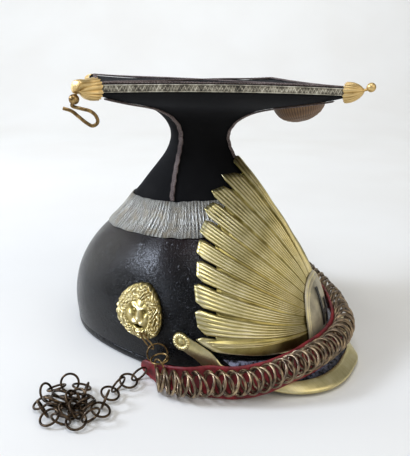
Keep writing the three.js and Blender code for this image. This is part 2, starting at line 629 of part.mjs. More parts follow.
function peakEnds(row) {
  const angle = THREE.MathUtils.degToRad(row.round) * row.side;
  const slack = row.side > 0 ? PEAK.slack * Math.sin(Math.min(1, row.x / 60) * Math.PI) ** 0.8 : 0;
  const edge = new THREE.Vector3(row.x * row.side, row.y + slack, row.z);
  return { seam: pointAt(row.seam, angle, PEAK.seat), edge };
}

// Unit vectors across the peak at a row, from seam to edge, and out of its face.
function peakFrame(i) {
  const here = peakEnds(PEAK_ROUND[i]);
  const before = peakEnds(PEAK_ROUND[Math.max(0, i - 1)]);
  const after = peakEnds(PEAK_ROUND[Math.min(PEAK_ROUND.length - 1, i + 1)]);
  const across = here.edge.clone().sub(here.seam).normalize();
  const along = after.edge.clone().sub(before.edge).normalize();
  const face = new THREE.Vector3().crossVectors(across, along).normalize();
  return { ...here, across, face };
}

{
  const section = (row, i) => {
    const frame = peakFrame(i);
    const shares = [0, 0.33, 0.66, 1];
    const loop = [];
    for (const share of shares) loop.push([share, -PEAK.half]);
    for (const share of [...shares].reverse()) loop.push([share, PEAK.half]);
    return loop.map(([share, rise]) => {
      const arch = 1.4 * Math.sin(Math.PI * share) * Math.cos(THREE.MathUtils.degToRad(row.round)) ** 2;
      return frame.seam.clone().lerp(frame.edge, share)
        .addScaledVector(frame.across, share === 1 ? -BINDING.clear : 0)
        .addScaledVector(frame.face, rise + arch);
    });
  };
  const loops = PEAK_ROUND.map(section);
  const shortened = (end, next) => end.map((point, j) => point.clone().lerp(next[j], 0.7));
  const last = loops.length - 1;
  [loops[0], loops[last]] = [shortened(loops[0], loops[1]), shortened(loops[last], loops[last - 1])];
  addAged('peak', loft(loops), BLACK_LEATHER);
}

{
  const inner = PEAK.half + BINDING.clear;
  const outer = inner + BINDING.sheet;
  const wide = BINDING.width;
  const profile = [
    { inside: wide, rise: outer + 1.5 }, { inside: 4, rise: outer + 0.9 }, { inside: -1.1, rise: outer },
    { inside: -1.1, rise: -outer }, { inside: BINDING.under, rise: -outer }, { inside: BINDING.under, rise: -inner },
    { inside: -BINDING.clear, rise: -inner }, { inside: -BINDING.clear, rise: inner },
    { inside: 4, rise: inner + 0.9 }, { inside: wide, rise: inner + 1.5 },
  ];
  const place = (i, p) => {
    const frame = peakFrame(i);
    return frame.edge.clone().addScaledVector(frame.across, -p.inside).addScaledVector(frame.face, p.rise);
  };
  const channel = loft(PEAK_ROUND.map((row, i) => profile.map((p) => place(i, p))));
  const last = PEAK_ROUND.length - 1;
  const arms = [-1, 1].map((side) => {
    const end = side > 0 ? last : 0;
    const turnIn = side > 0 ? last - 1 : 1;
    const strip = (i) => [
      place(i, { inside: -1.1, rise: inner }), place(i, { inside: wide, rise: inner + 1.5 }),
      place(i, { inside: wide, rise: outer + 1.5 }), place(i, { inside: -1.1, rise: outer }),
    ];
    const onSkull = ([degrees, height], lift) => pointAt(height, side * THREE.MathUtils.degToRad(degrees), lift);
    const rows = ARM_ROWS.map(({ low, high, lift }) => [
      onSkull(low, lift), onSkull(high, lift),
      onSkull(high, lift + BINDING.sheet), onSkull(low, lift + BINDING.sheet),
    ]);
    const tab = [ARM_END.lift, ARM_END.lift + BINDING.sheet + 0.8].map((lift) => Array.from({ length: 12 }, (_, j) => {
      const turn = (j / 12) * 2 * Math.PI;
      const degrees = ARM_END.angle + (ARM_END.radius * Math.cos(turn)) / 1.85;
      return onSkull([degrees, ARM_END.height + ARM_END.radius * Math.sin(turn)], lift);
    }));
    return [loft([strip(turnIn), strip(end), ...rows]), loft(tab)];
  });
  addAged('peak_binding', join([channel, ...arms.flat()]), BRASS);
}

// ------------------------------------------------------- lion bosses and loops
for (const [name, side] of [['right', -1], ['left', 1]]) {
  const rings = [
    { share: 0.35, lift: BOSS.back }, { share: 0.7, lift: BOSS.back }, { share: 1, lift: BOSS.back },
    { share: 1, lift: BOSS.back + 1.6 }, { share: 0.8, lift: BOSS.back + 4.4 },
    { share: 0.5, lift: BOSS.back + 5.4 }, { share: 0.24, lift: BOSS.back + BOSS.relief },
  ];
  const loops = rings.map((r) => Array.from({ length: 16 }, (_, j) => {
    const turn = (j / 16) * 2 * Math.PI;
    const angle = BOSS.angle + (r.share * BOSS.wide * Math.cos(turn)) / 1.95;
    return pointAt(BOSS.height + r.share * BOSS.tall * Math.sin(turn), THREE.MathUtils.degToRad(angle) * side, r.lift);
  }));
  addAged(`lion_boss_${name}`, loft(loops), BRASS);
}

// ---------------------------------------------------------- strap and its chain
const sideVector = (row) => new THREE.Vector3(...row.high).sub(new THREE.Vector3(...row.low));
const STRAP_LOW = smooth(STRAP_ROWS.map((row) => ({ x: row.low[0], y: row.low[1], z: row.low[2] })));
const STRAP_HIGH = smooth(STRAP_ROWS.map((row) => ({ x: row.high[0], y: row.high[1], z: row.high[2] })));

// Both edges of the strap at a share of its length, with its outward normal.
function strapAt(share) {
  const low = STRAP_LOW.getPoint(share);
  const high = STRAP_HIGH.getPoint(share);
  const step = 0.004;
  const along = STRAP_LOW.getPoint(Math.min(1, share + step)).sub(STRAP_LOW.getPoint(Math.max(0, share - step)));
  const up = high.clone().sub(low);
  const out = new THREE.Vector3().crossVectors(along, up).normalize();
  return { low, high, along: along.normalize(), up: up.normalize(), out };
}

{
  const loops = [];
  const steps = 34;
  for (let i = 0; i <= steps; i += 1) {
    const s = strapAt(i / steps);
    loops.push([s.low, s.high, s.high.clone().addScaledVector(s.out, STRAP.thick), s.low.clone().addScaledVector(s.out, STRAP.thick)]);
  }
  add('strap_backing', loft(loops), RED_LEATHER);
}

// Rings of the curb chain on the strap, lying close and leaning one on another,
// in a few solids along its length.
{
  const middle = (share) => {
    const s = strapAt(share);
    return s.low.clone().lerp(s.high, 0.47).addScaledVector(s.out, STRAP.thick + CURB.above);
  };
  const path = new THREE.CatmullRomCurve3(Array.from({ length: 61 }, (_, i) => middle(i / 60)));
  const length = path.getLength();
  const count = Math.floor((length - 2 * CURB.margin) / CURB.pitch);
  const perSolid = Math.ceil(count / CURB.solids);
  for (let k = 0; k < CURB.solids; k += 1) {
    const rings = [];
    const first = k * perSolid;
    const last = Math.min(count, first + perSolid) - 1;
    for (let i = first; i <= last; i += 1) {
      const inward = (i === first ? 0.7 : 0) - (i === last ? 0.7 : 0);
      const at = (CURB.margin + (i + 0.5) * CURB.pitch + inward) / length;
      const centre = path.getPointAt(at);
      const s = strapAt(path.getUtoTmapping(at));
      const axis = s.out.clone().applyAxisAngle(s.up, THREE.MathUtils.degToRad(CURB.lean));
      const wireRadius = i === first || i === last ? CURB.wire - 0.25 : CURB.wire;
      rings.push(ring(centre, axis, CURB.radius, wireRadius, 8, 4));
    }
    add(`gourmette_${k + 1}`, join(rings), CHAIN_METAL);
  }
}

// Bent wire loops in the bosses' mouths, and rings that join them to the strap.
const LOOP_ROUTE = [
  [-100.8, 5.6, 31.4], [-101, 3, 26.6], [-100.2, 0.2, 22.6], [-99.8, -2.4, 20.4],
  [-99.9, -4.8, 21.4], [-100.4, -3, 24.8], [-101, 0, 28], [-100.8, 2.8, 31.4],
];
const LINK_ROWS = [
  { name: 'link_ring_right_1', at: [-98.7, -28.6, 16.9], axis: [-0.74, -0.58, 0.35], radius: 7.2 },
  { name: 'link_ring_right_2', at: [-105.4, -36.2, 18.6], axis: [-0.12, 0.05, 0.99], radius: 6.2 },
  { name: 'link_ring_right_3', at: [-111.3, -40.4, 16.6], axis: [-0.96, 0.27, -0.02], radius: 5.4 },
  { name: 'link_ring_left_1', at: [99.9, 14.9, 17], axis: [0.8, -0.5, 0.35], radius: 7 },
  { name: 'link_ring_left_2', at: [102.2, 8.2, 19.8], axis: [0.3, 0.1, 0.95], radius: 5.6 },
];
for (const [name, side] of [['right', 1], ['left', -1]]) {
  const route = LOOP_ROUTE.map(([x, y, z]) => ({ x: x * side, y, z }));
  addAged(`boss_loop_${name}`, wire(smooth(route), LINK.wire, 14, 5), GILT);
}
for (const link of LINK_ROWS) {
  const centre = new THREE.Vector3(...link.at);
  add(link.name, ring(centre, new THREE.Vector3(...link.axis), link.radius, LINK.wire, 12, 5), GILT);
}

// Rings of the chain's loose end, each standing through the one before.
{
  const route = smooth(TAIL_ROUTE);
  const count = Math.floor(route.getLength() / TAIL.pitch);
  for (let i = 0; i < count; i += 1) {
    const share = (i + 0.5) / count;
    const centre = route.getPointAt(share);
    const along = route.getTangentAt(share);
    const across = new THREE.Vector3(-along.y, along.x, 0);
    const lean = THREE.MathUtils.degToRad(i % 2 ? TAIL.flat : -TAIL.steep);
    const axis = new THREE.Vector3(0, 0, 1).multiplyScalar(Math.cos(lean)).addScaledVector(across, Math.sin(lean));
    centre.z = TAIL.radius * Math.abs(Math.sin(lean)) + TAIL.wire + (i % 2 ? TAIL.propped : 0.05);
    add(`tail_ring_${String(i + 1).padStart(2, '0')}`, ring(centre, axis, TAIL.radius, TAIL.wire, 10, 5), DARK_CHAIN);
  }
}

// Cockade under the front left side of the top: a domed disc wound with thread.
{
  const lean = THREE.MathUtils.degToRad(COCKADE.lean);
  const out = new THREE.Vector3(Math.sin(lean) * 0.7071, -Math.sin(lean) * 0.7071, -Math.cos(lean));
  const across = new THREE.Vector3(0.7071, 0.7071, 0);
  const along = new THREE.Vector3().crossVectors(out, across).normalize();
  const profile = [[1, 0], [1, 0.16], [0.93, 0.45], [0.76, 0.72], [0.5, 0.9], [0.2, 1]];
  const loops = profile.map(([share, deep]) => Array.from({ length: 20 }, (_, j) => {
    const turn = (j / 20) * 2 * Math.PI;
    return new THREE.Vector3(COCKADE.x, COCKADE.y, COCKADE.z)
      .addScaledVector(across, share * COCKADE.radius * Math.cos(turn))
      .addScaledVector(along, share * COCKADE.radius * Math.sin(turn))
      .addScaledVector(out, deep * COCKADE.depth);
  }));
  add('cockade', loft(loops), BROWN_CORD);
}

// The part's origin is the middle of its box, on the surface it stands on.
const extent = new THREE.Box3().setFromObject(hat);
const middle = extent.getCenter(new THREE.Vector3());
hat.position.set(-middle.x, -middle.y, -extent.min.z);

export default hat;
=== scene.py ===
# A lancer's czapka, put together as the hat maker does it: leather skull, cloth
# pavilion and square top, lace and braids, metal caps, sun plate, peak, lion
# bosses and chin chain.  Shapes are worked out in millimetres on the hat's own
# axes (front -Y, wearer's right -X, up +Z) and set down in the row frame in metres.
import bpy
import bmesh
import numpy as np
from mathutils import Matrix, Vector


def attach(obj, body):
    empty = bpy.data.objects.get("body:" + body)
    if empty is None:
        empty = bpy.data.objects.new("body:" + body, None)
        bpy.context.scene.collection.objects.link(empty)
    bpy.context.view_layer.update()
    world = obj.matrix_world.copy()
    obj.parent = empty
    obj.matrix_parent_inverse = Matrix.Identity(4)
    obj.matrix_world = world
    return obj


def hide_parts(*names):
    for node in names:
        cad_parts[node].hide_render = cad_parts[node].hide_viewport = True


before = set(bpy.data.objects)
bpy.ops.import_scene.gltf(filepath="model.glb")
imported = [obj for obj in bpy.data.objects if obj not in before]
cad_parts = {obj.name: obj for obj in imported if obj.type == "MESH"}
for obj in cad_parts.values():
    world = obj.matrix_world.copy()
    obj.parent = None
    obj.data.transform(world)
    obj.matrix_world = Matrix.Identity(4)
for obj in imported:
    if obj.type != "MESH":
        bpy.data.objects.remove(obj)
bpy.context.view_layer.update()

# Stage: a seamless sheet of pale matt paper, swept up behind the hat, under big
# soft lamps, and the camera level with the hat's top, off its front right corner.
PAPER = "#EBEAE5"


def linear(tone):
    """sRGB hex to linear RGBA: each channel /12.92 below 0.04045, else ((c + 0.055) / 1.055) ** 2.4."""
    c = np.array([int(tone[k:k + 2], 16) / 255 for k in (1, 3, 5)])
    return (*np.where(c <= 0.04045, c / 12.92, ((c + 0.055) / 1.055) ** 2.4), 1.0)


def add(tree, kind, sets=None, links=None):
    """Adds one node; sets gives its properties and free sockets, links the sockets fed by other outputs."""
    made = tree.nodes.new("ShaderNode" + kind)
    for key, value in (sets or {}).items():
        if key == "stops":
            steps = made.color_ramp.elements
            while len(steps) < len(value):
                steps.new(0.5)
            for step, (at, tone) in zip(steps, value):
                step.position, step.color = at, linear(tone) if isinstance(tone, str) else (tone, tone, tone, 1)
        elif isinstance(key, str) and key in made.bl_rna.properties:
            setattr(made, key, value)
        else:
            made.inputs[key].default_value = linear(value) if isinstance(value, str) else value
    for key, source in (links or {}).items():
        tree.links.new(source, made.inputs[key])
    return made.outputs


def start_finish(name):
    """A bare material, its tree, and Object coordinates in millimetres."""
    made = bpy.data.materials.new(name)
    made.use_nodes = True
    tree = made.node_tree
    tree.nodes.clear()
    mm = add(tree, "Mapping", {"Scale": (1000, 1000, 1000)}, {"Vector": add(tree, "TexCoord")["Object"]})[0]
    return made, tree, mm


def end_finish(tree, sets, links):
    """Closes a material: one Principled shader with its constants and its fed sockets."""
    add(tree, "OutputMaterial", {}, {"Surface": add(tree, "BsdfPrincipled", sets, links)[0]})


# Uncoated paper: matt warm white, its tone uneven over about a quarter of a metre.
paper, tree, mm = start_finish("matt_paper")
soft = add(tree, "TexNoise", {"Scale": 0.004, "Detail": 2.0}, {"Vector": mm})["Fac"]
tint = add(tree, "ValToRGB", {"stops": [(0.3, "#E7E5DF"), (0.7, PAPER)]}, {"Fac": soft})[0]
end_finish(tree, {"Roughness": 0.75, "Specular IOR Level": 0.25}, {"Base Color": tint})

run = np.linspace(-3.0, 3.0, 25)
turn = np.linspace(0, np.pi / 2, 13)
sweep_y = np.concatenate([[-3.0, -1.0, 0.2], 1.3 + 0.9 * np.sin(turn), [2.2]])
sweep_z = np.concatenate([[0, 0, 0], 0.9 * (1 - np.cos(turn)), [3.2]])
back, over = np.meshgrid(sweep_y, run, indexing="ij")
spot = np.stack([over * 0.56 + back * 0.8285, -over * 0.8285 + back * 0.56,
    np.broadcast_to(sweep_z[:, None], over.shape)], -1)
first = (np.arange(len(sweep_y) - 1)[:, None] * len(run) + np.arange(len(run) - 1)).ravel()
quads = np.stack([first, first + 1, first + len(run) + 1, first + len(run)], -1)
sheet = bpy.data.meshes.new("paper_sweep")
sheet.from_pydata(spot.reshape(-1, 3), [], quads)
sheet.shade_smooth()
floor = bpy.data.objects.new("paper_sweep", sheet)
bpy.context.scene.collection.objects.link(floor)
sheet.materials.append(paper)

# Each lamp: where it hangs, what it faces, its width, its power and its tone.
HAT = (0, 0, 0.1)
for name, place, faces, size, power, tone in (
        ("lamp_over", (-0.1, 0.25, 1.7), HAT, 1.3, 2.6, "#FFFFFF"),
        ("lamp_window", (-1.15, 1.45, 1.29), HAT, 0.56, 40.0, "#DDE8FC"),
        ("lamp_wall", (-0.45, 2.6, 0.8), HAT, 1.5, 15.0, "#F4F4F0"),
        ("lamp_high", (-0.52, -0.24, 1.5), HAT, 0.6, 6.6, "#F6F8FF"),
        ("lamp_right", (-1.45, 0.50, 0.82), HAT, 0.4, 3.0, "#E2ECFF"),
        ("lamp_front", (-0.25, -1.7, 0.95), HAT, 1.5, 11.0, "#FFF8EE"),
        ("lamp_backdrop", (0.9, 0.2, 2.2), (1.95, 1.1, 1.7), 2.4, 28.0, "#F6F9FF")):
    lamp = bpy.data.lights.new(name, "AREA")
    lamp.size, lamp.energy, lamp.color = size, power, linear(tone)[:3]
    hung = bpy.data.objects.new(name, lamp)
    hung.location, hung.visible_camera = place, False
    hung.rotation_euler = (Vector(faces) - Vector(place)).to_track_quat("-Z", "Y").to_euler()
    bpy.context.scene.collection.objects.link(hung)
world = bpy.data.worlds.new("soft_room")
bpy.context.scene.world = world
world.use_nodes = True
world.node_tree.nodes["Background"].inputs["Color"].default_value = linear("#F4F6FA")
world.node_tree.nodes["Background"].inputs["Strength"].default_value = 0.25
bpy.context.scene.view_settings.view_transform = "Standard"

lens = bpy.data.cameras.new("camera")
lens.sensor_fit, lens.sensor_width, lens.lens = "HORIZONTAL", 36.0, 47.86
lens.clip_start = 0.01
camera = bpy.data.objects.new("camera", lens)
camera.location = (-0.33829, -0.24304, 0.2127)
camera.rotation_euler = Vector((0.7944, 0.5371, -0.2837)).to_track_quat("-Z", "Y").to_euler()
bpy.context.scene.collection.objects.link(camera)
bpy.context.scene.camera = camera

# Skull: one piece of blocked cowhide, black and waxed, wide at the head and drawn
# in to the waist.  With age it has racked, its right side pushed forward, and
# its surface has crazed and gone brown where it rubs.
PLACE = np.array([28.3124, 7.5605, 0.0])
LEATHER = 2.4
RACKED, RACK_FULL, RACK_NONE, RACK_REAR, RACK_FRONT = 0.22, 100.0, 165.0, 70.0, -10.0
CORNER, HEIGHT, SLOPE = 122.0, 199.9, 0.03
WARPED = {"frontRight": 1.6, "backLeft": -3.4, "rightBack": 0.0, "leftFront": -1.0}
# Height, half width, reach in front, reach behind, widest at, roundness in front
# and behind (2 an ellipse, 1 a square on its corner), tilt, share of the warp.
BODY = np.array([
    (0, 92.6, 107.5, 117.0, 5.2, 2, 2, 0, 0), (6.5, 93.6, 108.2, 118.1, 5.2, 2, 2, 0, 0),
    (18, 94.6, 108.6, 119.2, 5.2, 2, 2, 0, 0), (31, 94.2, 107.2, 119.0, 5.1, 1.92, 2, -0.008, 0),
    (42, 91.9, 103.7, 116.7, 5.1, 1.82, 2, -0.016, 0), (52, 88.3, 99.0, 113.2, 5.1, 1.73, 2, -0.025, 0),
    (61, 84.2, 93.9, 109.2, 5.1, 1.65, 2, -0.036, 0), (69, 79.8, 88.6, 104.8, 5.1, 1.6, 2, -0.046, 0),
    (76, 75.2, 83.6, 100.1, 5.1, 1.55, 2, -0.055, 0), (84, 69.0, 77.8, 93.5, 5.0, 1.5, 2, -0.065, 0),
    (91, 62.6, 72.6, 86.2, 5.0, 1.45, 2, -0.075, 0), (97, 57.0, 68.2, 79.2, 5.0, 1.4, 2, -0.075, 0),
    (104, 51.4, 62.8, 71.6, 5.0, 1.35, 2, -0.074, 0), (113.5, 45.9, 55.7, 63.5, 4.7, 1.32, 2, -0.07, 0),
    (120, 43.2, 50.8, 57.1, 4.5, 1.3, 1.9, -0.06, 0), (128, 40.2, 44.2, 49.7, 3.5, 1.28, 1.8, -0.048, 0),
    (137.5, 36.2, 36.0, 40.6, 2.2, 1.25, 1.7, -0.03, 0), (147, 31.9, 28.6, 32.8, 1.0, 1.25, 1.6, -0.015, 0),
    (154, 29.1, 25.4, 29.0, 0.5, 1.25, 1.6, 0, 0), (161, 28.2, 24.2, 27.6, 0, 1.25, 1.6, 0.005, 0),
    (167.5, 29.6, 26.8, 29.1, 0, 1.23, 1.6, 0.01, 0), (173.5, 34.4, 32.6, 34.0, 0, 1.2, 1.5, 0.015, 0),
    (178.5, 42.0, 41.2, 41.8, 0, 1.19, 1.4, 0.02, 0), (182.5, 52.0, 51.8, 52.4, 0, 1.15, 1.3, 0.025, 0.1),
    (185.8, 65.0, 65.8, 66.0, 0, 1.12, 1.18, 0.03, 0.2), (188.6, 82.0, 83.0, 83.0, 0, 1.08, 1.08, 0.03, 0.4),
    (192.2, 102.0, 102.4, 102.4, 0, 1.03, 1.02, 0.03, 0.7), (197.2, 122.0, 122.0, 122.0, 0, 1, 1, 0.03, 1)])


def circle(count):
    """Angles spaced evenly once round: each is its number times a full turn over the count."""
    return np.linspace(0, 2 * np.pi, count + 1)[:-1]


def squarish(wave, power):
    """A wave with its sign kept and its size raised to a power: fuller below one, sharper above."""
    return np.sign(wave) * np.abs(wave) ** power


def unit(ways):
    """Directions of length one: each row over its own length."""
    return ways / np.linalg.norm(ways, axis=-1, keepdims=True)


def along_rows(rows, at):
    """A table's columns at places along its first: between two rows a cubic whose slope at each row is that
    between its neighbours."""
    rows = np.asarray(rows, float)
    at = np.clip(at, rows[0, 0], rows[-1, 0])
    slope = np.gradient(rows, rows[:, 0], axis=0)
    i = np.clip(np.searchsorted(rows[:, 0], at, side="right") - 1, 0, len(rows) - 2)
    wide = (rows[i + 1, 0] - rows[i, 0])[..., None]
    s = (at - rows[i, 0])[..., None] / wide
    return (((1 + 2 * s) * rows[i] + s * wide * slope[i]) * (1 - s) ** 2
            + ((3 - 2 * s) * rows[i + 1] + (s - 1) * wide * slope[i + 1]) * s ** 2)


def ease(t):
    """0 before 0 and 1 after 1, with 3t squared less 2t cubed between."""
    t = np.clip(t, 0, 1)
    return t * t * (3 - 2 * t)


def warp_at(x, y):
    """Rise of the square top: each side bows up or down by its own amount, fading to nothing at the corners."""
    p, q = np.clip((-x - y) / CORNER, -1, 1), np.clip((x - y) / CORNER, -1, 1)
    across = WARPED["backLeft"] + (WARPED["frontRight"] - WARPED["backLeft"]) * (1 + p) / 2
    down = WARPED["rightBack"] + (WARPED["leftFront"] - WARPED["rightBack"]) * (1 + q) / 2
    return (1 - q * q) * across * p * p + (1 - p * p) * down * q * q


def racked(points):
    """Moves points as the old hat has leaned: y grows by a share of x, eased in below a height and in front of
    a line."""
    points = np.array(points, float)
    share = ease((RACK_NONE - points[..., 2]) / (RACK_NONE - RACK_FULL))
    share = share * ease((RACK_REAR - points[..., 1]) / (RACK_REAR - RACK_FRONT))
    points[..., 1] += RACKED * share * points[..., 0]
    return points


def on_hat(section, angle, lift=0.0):
    """Hat surface: a superellipse of the section's sizes at an angle from the front, pushed out along the
    outline's slant."""
    section, angle, lift = np.broadcast_arrays(*(np.asarray(v, float) for v in (section, angle, lift)))
    row = along_rows(BODY, section)
    low, high = along_rows(BODY, section - 2), along_rows(BODY, section + 2)
    run, rise = high[..., 1] - low[..., 1], high[..., 0] - low[..., 0]
    long = np.hypot(run, rise)
    out, up = rise / long, -run / long
    sx, sy = np.sin(angle), -np.cos(angle)
    power = 2 / np.where(sy < 0, row[..., 5], row[..., 6])
    reach = np.where(sy < 0, row[..., 4] + row[..., 2], row[..., 3] - row[..., 4]) + lift * out
    x = squarish(sx, power) * (row[..., 1] + lift * out)
    y = row[..., 4] + squarish(sy, power) * reach
    z = row[..., 0] + row[..., 7] * y + row[..., 8] * warp_at(x, y) + (section > 0) * lift * up
    return np.stack([x, y, z], -1)


def at_height(height, angle, lift=0.0):
    """The same at a true height over the table, found by stepping the section by what is missing."""
    height, angle, lift = np.broadcast_arrays(*(np.asarray(v, float) for v in (height, angle, lift)))
    section = height.copy()
    for _ in range(6):
        section += height - on_hat(section, angle, lift)[..., 2]
    return on_hat(section, angle, lift)


def skin(name, grids, finish, crease=50.0):
    """One mesh from grids of points: each cell a quad, ways that go round joined up, doubled points merged,
    faces turned out. A grid's last entry, if given, is its depth, 0 in hollows to 1 on ridges."""
    spots, faces, marks, deeps, base = [], [], [], [], 0
    for points, round_u, round_v, size, *deep in grids:
        n, m = points.shape[:2]
        i, j = np.meshgrid(np.arange(n - (not round_u)), np.arange(m - (not round_v)), indexing="ij")
        four = ((i, j), (i + 1, j), (i + 1, j + 1), (i, j + 1))
        faces.append(np.stack([base + (a % n) * m + b % m for a, b in four], -1).reshape(-1, 4))
        marks.append(np.stack([np.stack([a * size[0] / i.shape[0], b * size[1] / i.shape[1]], -1) for a, b in four],
            -2).reshape(-1, 2))
        spots.append(points.reshape(-1, 3))
        deeps.append(np.ravel(deep[0]) if deep else np.full(n * m, 0.5))
        base += n * m
    mesh = bpy.data.meshes.new(name)
    mesh.from_pydata((np.concatenate(spots) + PLACE) / 1000, [], np.concatenate(faces))
    mesh.uv_layers.new(name="mm").data.foreach_set("uv", np.concatenate(marks).astype(np.float32).ravel())
    mesh.attributes.new("depth", "FLOAT", "POINT").data.foreach_set("value",
        np.concatenate(deeps).astype(np.float32))
    work = bmesh.new()
    work.from_mesh(mesh)
    bmesh.ops.remove_doubles(work, verts=work.verts, dist=2e-6)
    bmesh.ops.recalc_face_normals(work, faces=work.faces)
    work.to_mesh(mesh)
    work.free()
    mesh.shade_smooth()
    mesh.set_sharp_from_angle(angle=np.radians(crease))
    mesh.materials.append(finish)
    made = bpy.data.objects.new(name, mesh)
    bpy.context.scene.collection.objects.link(made)
    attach(made, "root")
    return made


def waves(u, v, seed, count=9, low=0.5, high=3.0):
    """A gentle uneven field from -1 to 1: the mean of a few seeded sine waves over u and v."""
    dice = np.random.default_rng(seed)
    total = 0
    for _ in range(count):
        ku, kv, at = dice.uniform(low, high), dice.uniform(low, high), dice.uniform(0, 6.28)
        total = total + np.sin(ku * u + dice.choice((-1, 1)) * kv * v + at)
    return total / count ** 0.5


# Waxed cowhide, blocked and blacked: near-black with a blue sheen under wax, fine
# crazing, dust grey low down and a rust-brown bloom where the black has rubbed off.
waxed, tree, mm = start_finish("waxed_black_cowhide")
grain = add(tree, "TexVoronoi", {"feature": "DISTANCE_TO_EDGE", "Scale": 0.6}, {"Vector": mm})["Distance"]
craze = add(tree, "ValToRGB", {"stops": [(0.0, 0.0), (0.09, 1.0)]}, {"Fac": grain})[0]
cloudy = add(tree, "TexNoise", {"Scale": 0.045, "Detail": 5.0, "Roughness": 0.6}, {"Vector": mm})["Fac"]
specks = add(tree, "TexNoise", {"Scale": 0.7, "Detail": 3.0}, {"Vector": mm})["Fac"]
tone = add(tree, "ValToRGB",
    {"stops": [(0.30, "#030304"), (0.52, "#060709"), (0.66, "#0D0C0F"), (0.80, "#241717")]}, {"Fac": cloudy})[0]
height = add(tree, "SeparateXYZ", {}, {"Vector": mm})["Z"]
worn = add(tree, "MapRange", {"From Min": 62.0, "From Max": 100.0, "To Max": 0.5}, {"Value": height})[0]
worn = add(tree, "Math", {"operation": "MULTIPLY"}, {0: worn, 1: cloudy})[0]
tone = add(tree, "Mix", {"data_type": "RGBA", 7: "#3A2A28"}, {0: worn, 6: tone})[2]
pale = add(tree, "ValToRGB", {"stops": [(0.62, 0.0), (0.76, 0.14)]}, {"Fac": specks})[0]
tone = add(tree, "Mix", {"data_type": "RGBA", 7: "#4A5060"}, {0: pale, 6: tone})[2]
# Pale blue-grey patches where depth is above one half, on the peak's top face near its seam: painted reflection,
# broken up by noise.
painted_reflection_patches = add(tree, "MapRange", {"From Min": 0.5, "From Max": 1.0},
    {"Value": add(tree, "Attribute", {"attribute_name": "depth"})["Fac"]})[0]
patchy = add(tree, "TexNoise", {"Scale": 0.32, "Detail": 6.0, "Roughness": 0.7}, {"Vector": mm})["Fac"]
patchy = add(tree, "ValToRGB", {"stops": [(0.42, 0.0), (0.58, 0.9)]}, {"Fac": patchy})[0]
painted_reflection_patches = add(tree, "Math", {"operation": "MULTIPLY"}, {0: painted_reflection_patches, 1: patchy})[0]
tone = add(tree, "Mix", {"data_type": "RGBA", 7: "#85879C"}, {0: painted_reflection_patches, 6: tone})[2]
rough = add(tree, "MapRange", {"From Min": 0.3, "From Max": 0.75, "To Min": 0.30, "To Max": 0.42},
    {"Value": cloudy})[0]
relief = add(tree, "Math", {"operation": "MULTIPLY_ADD", 1: 0.5}, {0: craze, 2: specks})[0]
relief = add(tree, "Math", {"operation": "MULTIPLY_ADD", 1: 0.9}, {0: cloudy, 2: relief})[0]
shade = add(tree, "Bump", {"Strength": 1.0, "Distance": 0.00022}, {"Height": relief})[0]
end_finish(tree, {"IOR": 1.5, "Specular IOR Level": 0.02, "Sheen Weight": 0.06, "Sheen Roughness": 0.3,
    "Coat Weight": 0.62, "Coat IOR": 1.38, "Coat Roughness": 0.18},
    {"Base Color": tone, "Roughness": rough, "Normal": shade, "Coat Normal": shade})

turn = circle(360)
rise = np.concatenate([[6.6], np.linspace(7.4, 103.2, 90), [103.9]])
inside = rise[::-6][:-1]
section = np.concatenate([rise, [103.9], inside, [6.6]])
lift = np.concatenate([[-0.9], np.zeros(90), [-0.8], [-LEATHER], np.full(len(inside), -LEATHER), [-LEATHER]])
a, s = np.meshgrid(turn, section, indexing="ij")
lumps = (waves(3 * np.sin(a), 3 * np.cos(a) + s / 26, 4, 14, 0.7, 2.6) * 0.55 * ease((s - 20) / 30)
    * ease((100 - s) / 12))
points = racked(on_hat(s, a, lift[None, :] + lumps * (lift[None, :] > -1)))
skull = skin("leather_skull", [(points, True, True, (560, 200))], waxed)
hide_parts("skull")

# Bound lower rim: the skull's edge is turned over a cord and covered with a strip
# of the same waxed hide, run down on both faces, with a line of stitches above.
swing = circle(24)
foot = 3.1 - 3.1 * np.cos(swing)
edge = -1.35 + 1.85 * np.sin(swing)
a, z = np.meshgrid(turn, foot, indexing="ij")
points = racked(on_hat(z, a, np.broadcast_to(edge[None, :], a.shape)))
points[..., 2] = np.maximum(points[..., 2], 0.0)
rim = skin("bound_lower_rim", [(points, True, True, (560, 14))], waxed)
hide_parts("skull_rim")

# Band of silver lace round the waist: woven metal thread on a weft, gathered up so
# that it stands in small upright folds, dulled to grey-tan, its ridges lightened as painted highlight.
BAND_LOW, BAND_HIGH = 90.4, 114.0
a = circle(1500)
swing = circle(30)
a, t = np.meshgrid(a, swing, indexing="ij")
mid, half = (BAND_LOW + BAND_HIGH) / 2, (BAND_HIGH - BAND_LOW) / 2
up = -np.cos(t)
section = mid + half * squarish(up, 0.55)
face = np.sin(t)
thick = squarish(face, 0.35)
gather = (np.sin(a * 150 + 1.3 * np.sin(a * 7) + 0.9 * np.sin(section * 0.25 + a * 5))
    * (0.55 + 0.45 * np.sin(a * 11 + 1)))
section = section + 0.22 * waves(a * 14, 0 * a, 8) * up
lift = 0.95 + thick * 0.6 + np.where(face > 0, 0.24 * gather + 0.12 * waves(a * 9, section / 9, 5), 0)
points = racked(on_hat(section, a, lift))

# Woven metal lace, tarnished: slanting ribs 1.5 mm apart and threads 0.7 mm apart,
# lightened on the ridges of the folds as painted highlight and darkened between them as
# painted shade, with tan patches.
lace, tree, mm = start_finish("tarnished_silver_lace")
along_mm = add(tree, "SeparateXYZ", {}, {"Vector": add(tree, "UVMap", {"uv_map": "mm"})[0]})
